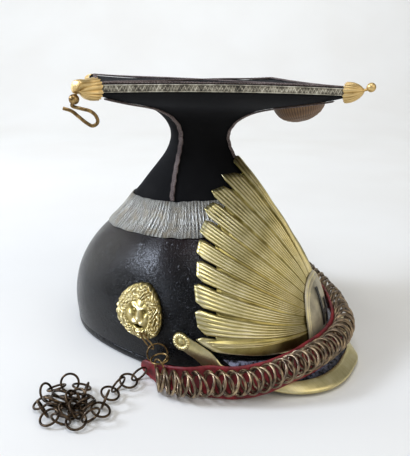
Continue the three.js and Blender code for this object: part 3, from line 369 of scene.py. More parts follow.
# Zigzag of the weave: its height follows a triangle wave along the lace.
saw = add(tree, "Math", {"operation": "PINGPONG", 1: 2.2}, {0: along_mm["X"]})[0]
slant = add(tree, "Math", {"operation": "ADD"}, {0: saw, 1: along_mm["Y"]})[0]
weave = add(tree, "Math", {"operation": "SINE"},
    {0: add(tree, "Math", {"operation": "MULTIPLY", 1: 4.2}, {0: slant})[0]})[0]
thread = add(tree, "Math", {"operation": "SINE"},
    {0: add(tree, "Math", {"operation": "MULTIPLY", 1: 9.0}, {0: along_mm["X"]})[0]})[0]
cloudy = add(tree, "TexNoise", {"Scale": 0.11, "Detail": 6.0, "Roughness": 0.65}, {"Vector": mm})["Fac"]
fine = add(tree, "TexNoise", {"Scale": 1.4, "Detail": 3.0}, {"Vector": mm})["Fac"]
relief = add(tree, "Math", {"operation": "MULTIPLY_ADD", 1: 0.5}, {0: thread, 2: weave})[0]
# Depth of the gathered folds, 0 between them to 1 on their ridges: painted highlight and painted shade.
fold_highlight_and_shade = add(tree, "Attribute", {"attribute_name": "depth"})["Fac"]
way = add(tree, "Mapping", {"Scale": (2.0, 0.12, 1.0)}, {"Vector": add(tree, "UVMap", {"uv_map": "mm"})[0]})[0]
streak = add(tree, "TexNoise", {"Scale": 1.0, "Detail": 3.0, "Roughness": 0.6}, {"Vector": way})["Fac"]
mixed = add(tree, "Math", {"operation": "MULTIPLY_ADD", 1: 0.07}, {0: relief, 2: streak})[0]
mixed = add(tree, "Math", {"operation": "MULTIPLY_ADD", 1: 0.22}, {0: fold_highlight_and_shade, 2: mixed})[0]
mixed = add(tree, "Math", {"operation": "MULTIPLY_ADD", 1: 0.3}, {0: fine, 2: mixed})[0]
tone = add(tree, "ValToRGB",
    {"stops": [(0.55, "#242423"), (0.66, "#5C5B56"), (0.77, "#928F85"), (0.88, "#BFBEB6"), (1.0, "#E4E5E2")]},
    {"Fac": mixed})[0]
tan = add(tree, "ValToRGB", {"stops": [(0.48, 0.0), (0.66, 0.6)]}, {"Fac": cloudy})[0]
tone = add(tree, "Mix", {"data_type": "RGBA", 7: "#8A7A58"}, {0: tan, 6: tone})[2]
shade = add(tree, "Bump", {"Strength": 0.8, "Distance": 0.00025}, {"Height": relief})[0]
end_finish(tree, {"Metallic": 0.55, "Roughness": 0.5, "Sheen Weight": 0.2}, {"Base Color": tone, "Normal": shade})
band = skin("silver_lace_band", [(points, True, True, (330, 50), 0.5 + 0.5 * gather)], lace, 70)
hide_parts("silver_band")

# Pavilion: black wool broadcloth stretched over a board carcass from the waist up
# to the square top, napped and dusty, a little slack between its corner seams.
CLOTH_WALL = 2.2
a = circle(360)
rise = np.concatenate([[104.4], np.linspace(105, 196.6, 100), [197.1]])
inside = rise[::-7][:-1]
section = np.concatenate([rise, [197.1], inside, [104.4]])
lift = np.concatenate([[-1], np.zeros(100), [-0.8], [-CLOTH_WALL], np.full(len(inside), -CLOTH_WALL),
    [-CLOTH_WALL]])
a, s = np.meshgrid(a, section, indexing="ij")
slack = (waves(4 * np.sin(a), 4 * np.cos(a) + s / 16, 11, 12, 0.6, 2.4) * 0.3 * ease((s - 112) / 20)
    * ease((184 - s) / 14) * np.abs(np.sin(2 * a)) ** 0.5)
points = racked(on_hat(s, a, lift[None, :] + slack * (lift[None, :] > -1)))

# Wool broadcloth, fulled: matt black with a fine nap, slow patches of dust and, on
# the highest nap, a little pale lint.
cloth, tree, mm = start_finish("black_wool_broadcloth")
nap = add(tree, "TexNoise", {"Scale": 1.6, "Detail": 5.0, "Roughness": 0.75}, {"Vector": mm})["Fac"]
dust = add(tree, "TexNoise", {"Scale": 0.03, "Detail": 4.0}, {"Vector": mm})["Fac"]
lint = add(tree, "ValToRGB", {"stops": [(0.66, 0.0), (0.78, 0.25)]}, {"Fac": nap})[0]
tone = add(tree, "ValToRGB", {"stops": [(0.3, "#0A0A0B"), (0.6, "#111112"), (0.8, "#1C1B1B")]}, {"Fac": dust})[0]
tone = add(tree, "Mix", {"data_type": "RGBA", 7: "#4A4740"}, {0: lint, 6: tone})[2]
shade = add(tree, "Bump", {"Strength": 0.6, "Distance": 0.0003}, {"Height": nap})[0]
end_finish(tree, {"Roughness": 0.95, "Specular IOR Level": 0.12, "Sheen Weight": 0.06, "Sheen Roughness": 0.4,
                  "Sheen Tint": "#8C90A0"}, {"Base Color": tone, "Normal": shade})
pavilion = skin("cloth_pavilion", [(points, True, True, (400, 220))], cloth)
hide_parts("pavilion")

# Square top: a board covered with the same cloth, a little padded, its sides bowed
# with age, set on the pavilion with its corners to the front, back and sides.
BOARD_HALF = 121.6


def top_z(x, y):
    """Middle plane of the top: level, a little higher behind, plus its bowed sides."""
    return HEIGHT + SLOPE * y + warp_at(x, y)


def square_path(share):
    """Unit square standing on its corner, walked 0 to 4 from the front corner by the wearer's left: two
    triangle waves."""
    share = np.asarray(share) % 4
    return np.interp(share, [0, 1, 2, 3, 4], [0, 1, 0, -1, 0]), np.interp(share, [0, 1, 2, 3, 4], [-1, 0, 1, 0, -1])


walk = np.linspace(0, 4, 241)[:-1]
shares = np.concatenate([[0], np.linspace(0.04, 0.985, 34), [0.995, 1.0, 1.0, 0.995], np.linspace(0.985, 0.04, 8),
    [0]])
rises = np.concatenate([np.full(35, 2.0), [1.85, 1.5, 0.1, -0.25], np.full(9, -0.4)])
w, k = np.meshgrid(walk, np.arange(len(shares)), indexing="ij")
x, y = square_path(w)
x, y = x * shares[k] * BOARD_HALF, y * shares[k] * BOARD_HALF
sag = 0.35 * waves(x / 22, y / 22, 21) * ease((1 - shares[k]) / 0.12) * (rises[k] > 1.9)
board = skin("cloth_covered_top_board",
    [(np.stack([x, y, top_z(x, y) + rises[k] + sag - 0.1], -1), True, False, (690, 240))], cloth)
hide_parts("top_board")

# Lace on the edge of the top: the same woven silver as the band but narrow and
# with a bold zigzag, whipped to the board's edge by both of its sides.
# Half the diagonal, a side, one zigzag, and half the height.
LACE_HALF, LACE_SIDE, LACE_ZIG, LACE_HIGH = 123.45, 175.0, 1.3, 2.35
walk = np.linspace(0, 4, 2401)[:-1]
swing = circle(20)
w, t = np.meshgrid(walk, swing, indexing="ij")
out, up = np.cos(t), np.sin(t)
zig = np.abs((w * LACE_SIDE / LACE_ZIG + 0.5 * waves(w * 40, 0 * w, 21)) % 2 - 1) * 2 - 1
rise = squarish(up, 0.6) * LACE_HIGH
chevron = np.exp(-((rise - 1.2 * zig) / 0.5) ** 2) * (out > 0) + 0.8 * (np.abs(rise) > 2.0) * (out > 0)
deep = LACE_HALF + squarish(out, 0.45) * (0.75 + 0.1 * np.cos(rise)) + 0.22 * chevron
x, y = square_path(w)
# Woven metal lace again: a dark ground with pale threads on the ridges of the
# zigzag, dulled in patches.
edge_lace, tree, mm = start_finish("narrow_silver_lace")
strands = add(tree, "Attribute", {"attribute_name": "depth"})["Fac"]
cloudy = add(tree, "TexNoise", {"Scale": 0.16, "Detail": 5.0, "Roughness": 0.7}, {"Vector": mm})["Fac"]
fine = add(tree, "TexNoise", {"Scale": 2.2, "Detail": 2.0}, {"Vector": mm})["Fac"]
mixed = add(tree, "Math", {"operation": "MULTIPLY_ADD", 1: 0.30}, {0: strands, 2: cloudy})[0]
mixed = add(tree, "Math", {"operation": "MULTIPLY_ADD", 1: 0.3}, {0: fine, 2: mixed})[0]
tone = add(tree, "ValToRGB", {"stops": [(0.50, "#1C1A18"), (0.66, "#575349"), (0.82, "#9A9584"), (1.0, "#DAD7C8")]},
    {"Fac": mixed})[0]
shade = add(tree, "Bump", {"Strength": 0.7, "Distance": 0.0002}, {"Height": fine})[0]
end_finish(tree, {"Metallic": 0.5, "Roughness": 0.48}, {"Base Color": tone, "Normal": shade})
points = np.stack([x * deep, y * deep, top_z(x * 122, y * 122) + rise - 0.25], -1)
rim_lace = skin("zigzag_rim_lace", [(points, True, True, (690, 14), chevron)], edge_lace, 80)
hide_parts("rim_lace")

# Braids of the top: flat plaited mohair braid, mauve-grey, sewn round just inside
# the edge and crosswise from corner to corner, lying on the cloth.
BRAID_HALF, CROSS_REACH = 116.5, 111.5
# Mohair yarn, plaited flat: mauve-grey, with slanting plaits 1.8 mm apart under a
# hairy, dull face.
braid, tree, mm = start_finish("grey_plaited_mohair_braid")
way = add(tree, "SeparateXYZ", {}, {"Vector": add(tree, "UVMap", {"uv_map": "mm"})[0]})
leg = add(tree, "Math", {"operation": "PINGPONG", 1: 2.0}, {0: way["Y"]})[0]
leg = add(tree, "Math", {"operation": "MULTIPLY_ADD", 1: 3.4},
    {0: add(tree, "Math", {"operation": "ADD"}, {0: way["X"], 1: leg})[0], 2: leg})[0]
plait = add(tree, "Math", {"operation": "SINE"}, {0: leg})[0]
fuzz = add(tree, "TexNoise", {"Scale": 2.0, "Detail": 4.0}, {"Vector": mm})["Fac"]
cloudy = add(tree, "TexNoise", {"Scale": 0.08, "Detail": 3.0}, {"Vector": mm})["Fac"]
mixed = add(tree, "Math", {"operation": "MULTIPLY_ADD", 1: 0.16}, {0: plait, 2: fuzz})[0]
mixed = add(tree, "Math", {"operation": "MULTIPLY_ADD", 1: 0.5}, {0: cloudy, 2: mixed})[0]
tone = add(tree, "ValToRGB", {"stops": [(0.52, "#332C2B"), (0.75, "#5D504E"), (0.95, "#857873"), (1.0, "#A29790")]},
    {"Fac": mixed})[0]
shade = add(tree, "Bump", {"Strength": 0.9, "Distance": 0.0003}, {"Height": mixed})[0]
end_finish(tree, {"Roughness": 0.85, "Specular IOR Level": 0.2}, {"Base Color": tone, "Normal": shade})


def strip(path, side, out, wide, thick, count=14):
    """A flat strip on a path: a squared oval of half width and half thickness carried along it and drawn to a
    point at both ends."""
    swing = circle(count)
    ends = np.ones(len(path))
    ends[[0, -1]] = 0
    flat = squarish(np.cos(swing), 0.5)
    proud = squarish(np.sin(swing), 0.6)
    return (path[:, None] + side[:, None] * (ends * wide)[:, None, None] * flat[None, :, None]
            + out[:, None] * (ends * thick)[:, None, None] * proud[None, :, None])


swing = circle(16)
w, t = np.meshgrid(np.linspace(0, 4, 801)[:-1], swing, indexing="ij")
flat, proud = squarish(np.cos(t), 0.5), squarish(np.sin(t), 0.6)
over = 0.22 * np.sin(w * 172.5 * 1.7 + 2.2 * np.abs(flat)) * (proud > 0)
x, y = square_path(w)
corner = BRAID_HALF + flat * 2.5
points = np.stack([x * corner, y * corner, top_z(x * corner, y * corner) + 3.0 + proud * 0.6 + over], -1)
edge_braid = skin("top_edge_braid", [(points, True, True, (660, 12))], braid, 80)
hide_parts("top_edge_braid")
arms = []
for angle in (0.0, np.pi / 2):
    reach = np.linspace(-CROSS_REACH, CROSS_REACH, 201)
    ahead = np.array([np.sin(angle), -np.cos(angle)])
    path = np.stack([ahead[0] * reach, ahead[1] * reach], -1)
    path = np.concatenate([path, (top_z(*path.T) + 3.15 + 0.2 * np.abs(np.sin(reach * 0.9)))[:, None]], 1)
    side = np.broadcast_to(np.array([ahead[1], -ahead[0], 0.0]), path.shape)
    out = np.broadcast_to(np.array([0.0, 0.0, 1.0]), path.shape)
    arms.append((strip(path, side, out, 2.0, 0.6), False, True, (223, 10)))
cross = skin("top_cross_braid", arms, braid, 80)
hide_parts("top_cross_braid")

# Seam braids: the same braid, narrower, laid over the pavilion's four corner seams
# from the lace band up to the caps and caught down by its edges.
for name, angle in (("front", 0.0), ("left", np.pi / 2), ("back", np.pi), ("right", -np.pi / 2)):
    section = np.linspace(114.5, 194, 170)
    near = on_hat(section, np.full(170, angle), 0.7)
    far = on_hat(section, np.full(170, angle), 2.0)
    out = unit(far - near)
    side = np.broadcast_to(np.array([np.cos(angle), np.sin(angle), 0.0]), near.shape)
    wave = near + side * (0.3 * np.sin(section * 0.9 + angle))[:, None]
    made = strip(wave, side, out, 1.85 + 0.15 * np.sin(section * 2.1), 0.6, 16)
    piece = skin("seam_braid_" + name + "_sewn", [(racked(made), False, True, (120, 9))], braid, 80)
    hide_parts("seam_braid_" + name)

# Corner caps: thin gilt brass pressed over the corners of the top, fluted like a
# shell from the point back to a scalloped mouth; the front one ends in a knob, the
# right one is bent out of shape.
# Each row, from the mouth to the point: how far out, half width, half height.
CAP = np.array([(118.9, 7.6, 6.8), (121.8, 6.6, 6.3), (124.8, 5.0, 5.2), (127.4, 3.1, 3.6), (129.2, 1.5, 1.9),
    (129.9, 0.6, 0.8)])
# CAP_WALL: last row that the inner wall repeats; CAP_FAR: size of the back and left
# caps; CAP_ROUND: how square the section is.
CAP_WALL, CAP_FAR, CAP_ROUND = 25, 0.66, 0.72
# Gilt brass, pressed: soft warm yellow, palest on the ridges of the flutes and brown
# in their hollows.
gilt, tree, mm = start_finish("pressed_gilt_brass")
hollow = add(tree, "Attribute", {"attribute_name": "depth"})["Fac"]
cloudy = add(tree, "TexNoise", {"Scale": 0.25, "Detail": 5.0, "Roughness": 0.65}, {"Vector": mm})["Fac"]
fine = add(tree, "TexNoise", {"Scale": 2.5, "Detail": 3.0}, {"Vector": mm})["Fac"]
mixed = add(tree, "Math", {"operation": "MULTIPLY_ADD", 1: 0.45}, {0: cloudy, 2: hollow})[0]
tone = add(tree, "ValToRGB", {"stops": [(0.18, "#54401C"), (0.45, "#9E8248"), (0.75, "#C8A568"), (1.0, "#DFC389")]},
    {"Fac": mixed})[0]
rough = add(tree, "MapRange", {"From Min": 0.3, "From Max": 0.7, "To Min": 0.38, "To Max": 0.5},
    {"Value": cloudy})[0]
shade = add(tree, "Bump", {"Strength": 0.25, "Distance": 0.0002}, {"Height": fine})[0]
end_finish(tree, {"Metallic": 1.0}, {"Base Color": tone, "Roughness": rough, "Normal": shade})


def ball(centre, radius, count=28):
    """A globe: radius times the sine and cosine of the height angle, turned round a full circle, with closed
    poles."""
    t, a = np.meshgrid(circle(2 * count), np.linspace(0, np.pi, count), indexing="ij")
    way = np.stack([np.sin(a) * np.cos(t), np.sin(a) * np.sin(t), np.cos(a)], -1)
    return np.asarray(centre) + radius * way


def through(rows, count):
    """Points evenly spaced on a smooth curve through rows: cubics timed by the root of each gap, then read
    back by length."""
    rows = np.asarray(rows, float)
    timed = np.concatenate([[0], np.cumsum(np.linalg.norm(np.diff(rows, axis=0), axis=1) ** 0.5)])
    dense = along_rows(np.column_stack([timed, rows]), np.linspace(0, timed[-1], 1500))[:, 1:]
    walked = np.concatenate([[0], np.cumsum(np.linalg.norm(np.diff(dense, axis=0), axis=1))])
    at = np.linspace(0, walked[-1], count)
    return np.stack([np.interp(at, walked, dense[:, k]) for k in range(dense.shape[1])], -1)


def wire(path, radius, sides=12, level=(0.31, 0.52, 0.79)):
    """A round wire: a circle square to the path, turned so that one side keeps to a level direction, closed at
    both ends."""
    ahead = np.gradient(path, axis=0)
    ahead = unit(ahead)
    side = np.cross(ahead, level)
    side = unit(side)
    up = np.cross(side, ahead)
    swing = circle(sides)
    thick = np.full(len(path), float(radius))
    thick[[0, -1]] = 0
    made = (path[:, None] + thick[:, None, None] * (side[:, None] * np.cos(swing)[None, :, None]
        + up[:, None] * np.sin(swing)[None, :, None]))
    made[1], made[-2] = made[1] - (path[1] - path[0]) * 0.9, made[-2] + (path[-1] - path[-2]) * 0.9
    return made


for name, angle, tip, bent in (("front", 0.0, 1.8, 0), ("left", np.pi / 2, 0.0, 0), ("back", np.pi, 0.0, 0),
        ("right", -np.pi / 2, -1.2, 1)):
    ahead = np.array([np.sin(angle), -np.cos(angle), 0.0])
    side = np.array([np.cos(angle), np.sin(angle), 0.0])
    t, s = np.meshgrid(circle(192), np.concatenate([np.linspace(0, 1, 44), [1.0]]), indexing="ij")
    row = along_rows(np.column_stack([np.linspace(0, 1, 6), CAP]), s)
    fade = ease(1.15 - s)
    near = 1 - bent * ease((-np.cos(t) + 0.2) / 0.5)
    flute = np.abs(np.sin(t * 9)) ** 0.8
    scallop = 0.9 * flute * ease(1 - s * 5)
    low = CAP_FAR if name in ("back", "left") else 1.0
    size = low * (1 + 0.10 * (flute - 0.5) * fade * (0.35 + 0.65 * near))
    size = size * np.where(np.arange(s.shape[1])[None, :] == s.shape[1] - 1, 0, 1)
    blunt = bent * ease((0.9 * np.sin(t) - 0.35 * np.cos(t) + 0.25) / 0.7) * ease(1.7 * s)
    row[..., 2:4] += blunt[..., None] * (np.array([5.0, 6.5]) - row[..., 2:4])
    flare = 0.75 * blunt * s
    size = size * (1 - blunt * (1 - np.sqrt(1 - 0.85 * np.clip((s - 0.7) / 0.3, 0, 1) ** 2)))
    centre = ahead * (row[..., 1] - scallop)[..., None]
    level = HEIGHT + SLOPE * centre[..., 1] - 0.4 + tip * s - 3 * (1 - low)
    points = ((centre + side * (row[..., 2] * size * squarish(np.cos(t), CAP_ROUND))[..., None]
        + ahead * (flare * 5.0)[..., None]
        + np.array([0, 0, 1.0]) * (level + row[..., 3] * size * squarish(np.sin(t), CAP_ROUND)
        + 0.4 * flare)[..., None]))
    inner = points[:, CAP_WALL::-1]
    middle = (ahead * CAP[0, 0] + [0, 0, HEIGHT - 0.4])
    inner = middle + (inner - middle) * 0.93
    shell = np.concatenate([inner, points], 1)
    shine = np.concatenate([np.full(inner.shape[:2], 0.1), 0.35 + 0.5 * flute * (0.3 + 0.7 * near)
        + 0.3 * (1 - near)], 1)
    shell[:, 0], shell[:, -1] = shell[:, 0].mean(0), shell[:, -2].mean(0)
    made = [(shell, True, False, (60, 40), shine)]
    if name == "front":
        stem = wire(through([(0, -128.6, 197.4), (0, -131.2, 198.2), (0, -133.6, 199.2)], 8), 0.9)
        globe = ball((0, -134.4, 199.7), 3.1)
        made += [(stem, False, True, (8, 6), np.full(stem.shape[:2], 0.5)),
            (globe, True, False, (19, 10), np.full(globe.shape[:2], 0.7))]
    cap = skin("fluted_corner_cap_" + name, made, gilt, 60)
    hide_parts("corner_cap_" + name)

# Hook for the chin chain: brown-gilt brass wire bent by hand into a hook, hung by a
# small eye and a turned ball under the right corner cap.
HOOK = [(-132.6, 3.6, 192), (-132.9, 4.3, 190.2), (-129.9, -0.1, 188.4), (-126.9, -4.5, 187), (-125.2, -7, 184.6),
    (-124.5, -8.2, 181.2), (-124.9, -7.4, 179.2), (-126.4, -5.2, 178.1), (-128.4, -2.3, 180), (-130.9, 1.4, 183.7),
    (-133.2, 4.8, 187), (-136, 8.9, 188.6)]
# Brass wire, browned: clouded brown to pale yellow every few millimetres, rougher
# where it is paler.
old_brass, tree, mm = start_finish("browned_brass_wire")
cloudy = add(tree, "TexNoise", {"Scale": 0.3, "Detail": 4.0}, {"Vector": mm})["Fac"]
tone = add(tree, "ValToRGB", {"stops": [(0.32, "#5A462C"), (0.55, "#8F744A"), (0.75, "#BFA470")]},
    {"Fac": cloudy})[0]
rough = add(tree, "MapRange", {"From Min": 0.3, "From Max": 0.7, "To Min": 0.24, "To Max": 0.42},
    {"Value": cloudy})[0]
end_finish(tree, {"Metallic": 1.0}, {"Base Color": tone, "Roughness": rough})
parts = [wire(through(HOOK, 120), 1.1, 14),
    wire(through([(-132, 2.7, 195.4), (-131.7, 2.1, 196.6), (-131.2, 1.4, 197.6)], 8), 0.8)]
parts = [(p, False, True, (60, 7)) for p in parts] + [(ball((-132.2, 3, 193.9), 3.2), True, False, (20, 10))]
hook = skin("bent_wire_hook", parts, old_brass, 60)
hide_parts("corner_hook")

# Cockade under the left front side of the top: a wooden mould wound with brown silk
# thread from the middle out, its edge corded, sewn to the cloth.
COCKADE, COCK_R, COCK_DEEP, COCK_LEAN = np.array([45.3, -62.2, 189.2]), 21.5, 18.5, np.radians(15)
out = np.array([np.sin(COCK_LEAN) * 0.7071, -np.sin(COCK_LEAN) * 0.7071, -np.cos(COCK_LEAN)])
side = np.array([0.7071, 0.7071, 0.0])
ahead = np.cross(out, side)
DOME = np.array([(0, 0, -0.02), (1, 0.9, -0.02), (2, 1, 0.02), (3, 1.0, 0.16), (4, 0.93, 0.45), (5, 0.76, 0.72),
    (6, 0.5, 0.9), (7, 0.2, 1.0), (8, 0, 1.02)])
t, s = np.meshgrid(circle(360), np.linspace(0, 8, 100), indexing="ij")
row = along_rows(DOME, s)
share, deep = np.clip(row[..., 1], 0, 1.01), row[..., 2]
cord = np.abs(np.sin(t * 30 + 5 * share)) * ease((share - 0.06) / 0.2) * (s > 2.5)
wound = 0.5 + 0.5 * np.sin(share * 46)
big = 0.55 * cord + 0.25 * wound * (s > 2.5)
points = (COCKADE + side * (share * COCK_R * np.cos(t))[..., None] + ahead * (share * COCK_R * np.sin(t))[..., None]
          + out * (deep * COCK_DEEP + big - 0.5)[..., None])
# Silk thread, wound: brown, lighter on its turns and cord as painted highlight and darker
# in the grooves between them as painted shade, with a little fuzz and a soft sheen.
thread, tree, mm = start_finish("brown_silk_thread")
turn_highlight_and_shade = add(tree, "Attribute", {"attribute_name": "depth"})["Fac"]
fuzz = add(tree, "TexNoise", {"Scale": 1.8, "Detail": 4.0}, {"Vector": mm})["Fac"]
mixed = add(tree, "Math", {"operation": "MULTIPLY_ADD", 1: 0.6}, {0: fuzz, 2: turn_highlight_and_shade})[0]
tone = add(tree, "ValToRGB", {"stops": [(0.3, "#2C2018"), (0.6, "#57402C"), (0.95, "#856546")]}, {"Fac": mixed})[0]
shade = add(tree, "Bump", {"Strength": 0.6, "Distance": 0.0002}, {"Height": fuzz})[0]
end_finish(tree, {"Roughness": 0.7, "Sheen Weight": 0.3}, {"Base Color": tone, "Normal": shade})
# Depth follows the cord and the wound turns, giving the thread its painted highlight and painted shade.
cockade = skin("thread_wound_cockade", [(points, True, False, (135, 60), 0.15 + 0.6 * cord * (0.6 + 0.4 * wound))],
    thread, 80)
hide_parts("cockade")

# Sun plate: sheet brass struck with a fan of fluted rays, cut apart round its upper
# edge into stepped tongues, its foot left as a smooth border; wired to the skull.
PLATE_MID, PLATE_RISE, PLATE_BACK, PLATE_SHEET, PLATE_HOLE = 28.0, 1.2, 2.9, 0.8, 6.0
# Each tongue: the angle of the slot after it, of its tip, its reach and its slot's.
TONGUES = np.array([(3.7, 0.3, 141.6, 127), (12.8, 11.4, 129.5, 117.8), (23.2, 20.9, 122.5, 109.5),
    (34.2, 31.2, 117, 106), (44.8, 42.9, 113.9, 103), (54.6, 52.6, 113.8, 100.6), (64.9, 62.7, 114.2, 101),
    (75.4, 73.0, 117.4, 104), (85.8, 82.4, 120.6, 108.5)])
FOOT = np.array([(124, 32.4), (119.5, 29.2), (112.5, 25.6), (104, 24.4), (93, 23.2), (80, 22), (66, 21), (51, 20),
    (36, 19.2), (20, 18.5), (0, 18.3)])


def around(distance, height, lift, base):
    """Hat surface at a distance walked round from the front middle, left positive: arcs summed along level
    lines, read backwards on a grid and blended by cubics."""
    levels, steps, angles = np.arange(11, 158, 1.5), np.arange(-2, 145, 0.5), np.linspace(0, np.pi, 1441)
    lines = at_height(levels[:, None], angles[None], base)
    arcs = np.cumsum(np.linalg.norm(np.diff(lines[..., :2], axis=1), axis=-1), axis=1)
    both = np.concatenate([-angles[:0:-1], angles])
    known = np.stack([np.interp(steps, np.concatenate([-arc[::-1], [0], arc]), both) for arc in arcs])
    spot = [(height - levels[0]) / 1.5, (np.abs(distance) - steps[0]) / 0.5]
    cell = [np.clip(s.astype(int), 1, n - 3) for s, n in zip(spot, known.shape)]
    bend = [((-t + 2 * t ** 2 - t ** 3) / 2, (2 - 5 * t ** 2 + 3 * t ** 3) / 2, (t + 4 * t ** 2 - 3 * t ** 3) / 2,
        (t ** 3 - t ** 2) / 2) for t in (s - k for s, k in zip(spot, cell))]
    angle = sum(bend[0][p] * bend[1][q]
        * known[cell[0] + p - 1, cell[1] + q - 1] for p in range(4) for q in range(4))
    return at_height(height, np.sign(distance) * angle, lift)


start, at, reach, flute, tongue = 0.0, [], [], [], []
for n, (slot, tip, far, cut) in enumerate(TONGUES):
    half = 57.3 * 1.4 / far
    end = slot - half
    s = np.linspace(0, 1, 41)
    degrees = start + s * (end - start)
    peak_at = (tip - start) / (end - start)
    if n == 0:
        edge = np.interp(s, [0, 0.1, 0.75, 1], [far, far, far - 3.2, far - 5.4])
    else:
        edge = np.interp(s, [0, 0.16, 0.62, peak_at, 1], [far - 4.6, far - 0.9, far - 0.5, far, far - 4.6])
    ribs = 2.5 if n == 0 else 5
    fl = np.abs(np.cos(np.pi * ribs * s) if n == 0 else np.sin(np.pi * ribs * s)) ** 1.25
    at += [degrees, [end + 0.04, slot + half - 0.04]]
    reach += [edge, [cut, cut]]
    flute += [fl, [0.0, 0.0]]
    tongue += [np.minimum(1, np.minimum(s * 8 if n else 8, (1 - s) * 8)), [0.0, 0.0]]
    start = slot + half
walk = np.linspace(0, 10, 110)
foot = np.column_stack([np.interp(walk, np.arange(11), FOOT[:, k]) for k in (0, 1)])
rise = (foot[:, 1] - PLATE_MID) * PLATE_RISE
at += [[start], np.degrees(np.arctan2(foot[:, 0], rise))]
reach += [[119.0], np.hypot(foot[:, 0], rise)]
flute += [[0.0], np.abs(np.sin(np.pi * 5 * np.clip(walk / 1.1, 0, 1))) * (walk < 1.1)]
tongue += [[0.0], np.ones(110)]
at, reach, flute, tongue = (np.concatenate(part) for part in (at, reach, flute, tongue))
at, reach = np.concatenate([-at[::-1][1:], at[1:]]), np.concatenate([reach[::-1][1:], reach[1:]])
flute, tongue = np.concatenate([flute[::-1][1:], flute[1:]]), np.concatenate([tongue[::-1][1:], tongue[1:]])
shares = np.concatenate([np.linspace(0, 0.985, 64), [1.0], [1.0], np.linspace(0.98, 0.0, 7)])
front = np.arange(len(shares)) < 65
d, s = np.meshgrid(np.radians(at), shares, indexing="ij")
r = PLATE_HOLE + s * (reach[:, None] - PLATE_HOLE)
grown = ease((r - 16) / 34)
margin = ease((reach[:, None] - r) / 2.2)
low_edge = ease((np.abs(at)[:, None] - 84) / 5)
smooth_border = 1 - low_edge * ease((9 - (reach[:, None] - r)) / 4)
crown = 0.6 * tongue[:, None] ** 0.5 * ease((r - 45) / 40)
ends = 0.3 + 0.7 * ease((reach[:, None] - r - 1.0) / 11)
ribs = 0.52 * flute[:, None] * grown * (0.35 + 0.65 * margin) * smooth_border * ends
dents = 0.25 * waves(r / 14, d * 5, 3)
lift = np.where(front[None], PLATE_BACK + PLATE_SHEET + (crown + ribs + dents) * (0.3 + 0.7 * margin),
    PLATE_BACK - 0.2)
points = racked(around(r * np.sin(d), PLATE_MID + r * np.cos(d) / PLATE_RISE, lift, 3.3))
shine = np.where(front[None], 0.15 + 0.75 * flute[:, None] * smooth_border + 0.75 * (1 - smooth_border), 0.3)

# Brass sheet, struck and once polished: yellow with an olive tarnish lying in the
# grooves, rubbed bright on the ribs, with fine rub marks along the rays.
brass, tree, mm = start_finish("polished_brass_sheet")
hollow = add(tree, "Attribute", {"attribute_name": "depth"})["Fac"]
cloudy = add(tree, "TexNoise", {"Scale": 0.07, "Detail": 6.0, "Roughness": 0.6}, {"Vector": mm})["Fac"]
way = add(tree, "Mapping", {"Scale": (2.2, 0.07, 1.0)}, {"Vector": add(tree, "UVMap", {"uv_map": "mm"})[0]})[0]
rubbed = add(tree, "TexNoise", {"Scale": 1.0, "Detail": 3.0}, {"Vector": way})["Fac"]
mixed = add(tree, "Math", {"operation": "MULTIPLY", 1: 0.55}, {0: cloudy})[0]
mixed = add(tree, "Math", {"operation": "MULTIPLY_ADD", 1: 0.5}, {0: hollow, 2: mixed})[0]
mixed = add(tree, "Math", {"operation": "MULTIPLY_ADD", 1: 0.25}, {0: rubbed, 2: mixed})[0]
tone = add(tree, "ValToRGB", {"stops": [(0.28, "#5C5029"), (0.50, "#A4965B"), (0.78, "#D6C994"), (1.0, "#EFE6C4")]},
    {"Fac": mixed})[0]
rough = add(tree, "MapRange", {"From Min": 0.3, "From Max": 0.7, "To Min": 0.30, "To Max": 0.42},
    {"Value": cloudy})[0]
shade = add(tree, "Bump", {"Strength": 0.15, "Distance": 0.0003}, {"Height": rubbed})[0]
end_finish(tree, {"Metallic": 1.0}, {"Base Color": tone, "Roughness": rough, "Normal": shade})
plate = skin("fluted_sun_plate", [(points, True, True, (400, 240), shine)], brass, 78)
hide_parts("sun_plate")

# Badge: a domed oval of white metal let into the foot of the plate, its ground
# matted, with a double raised ring round it; a plain numeral is fixed on it.
BADGE_WIDE, BADGE_TALL, BADGE_FOOT, BADGE_BACK = 31.0, 35.0, 19.5, 4.6
shares = np.concatenate([np.linspace(0, 1, 70), [1.0], np.linspace(1, 0, 8)])
t, k = np.meshgrid(circle(240), np.arange(len(shares)), indexing="ij")
s = shares[k]
rings = (np.exp(-((s - 0.965) / 0.022) ** 2) + 0.9 * np.exp(-((s - 0.885) / 0.02) ** 2)
    * (0.8 + 0.2 * np.cos(t * 90)))
high = np.where(k < 70, 0.5 + 1.15 * (1 - s ** 2) + 0.95 * rings, 0.0)
up = np.maximum(s * BADGE_TALL * np.cos(t), -s * (PLATE_MID - BADGE_FOOT))
points = racked(around(s * BADGE_WIDE * np.sin(t), PLATE_MID + up, BADGE_BACK + high, 5.5))
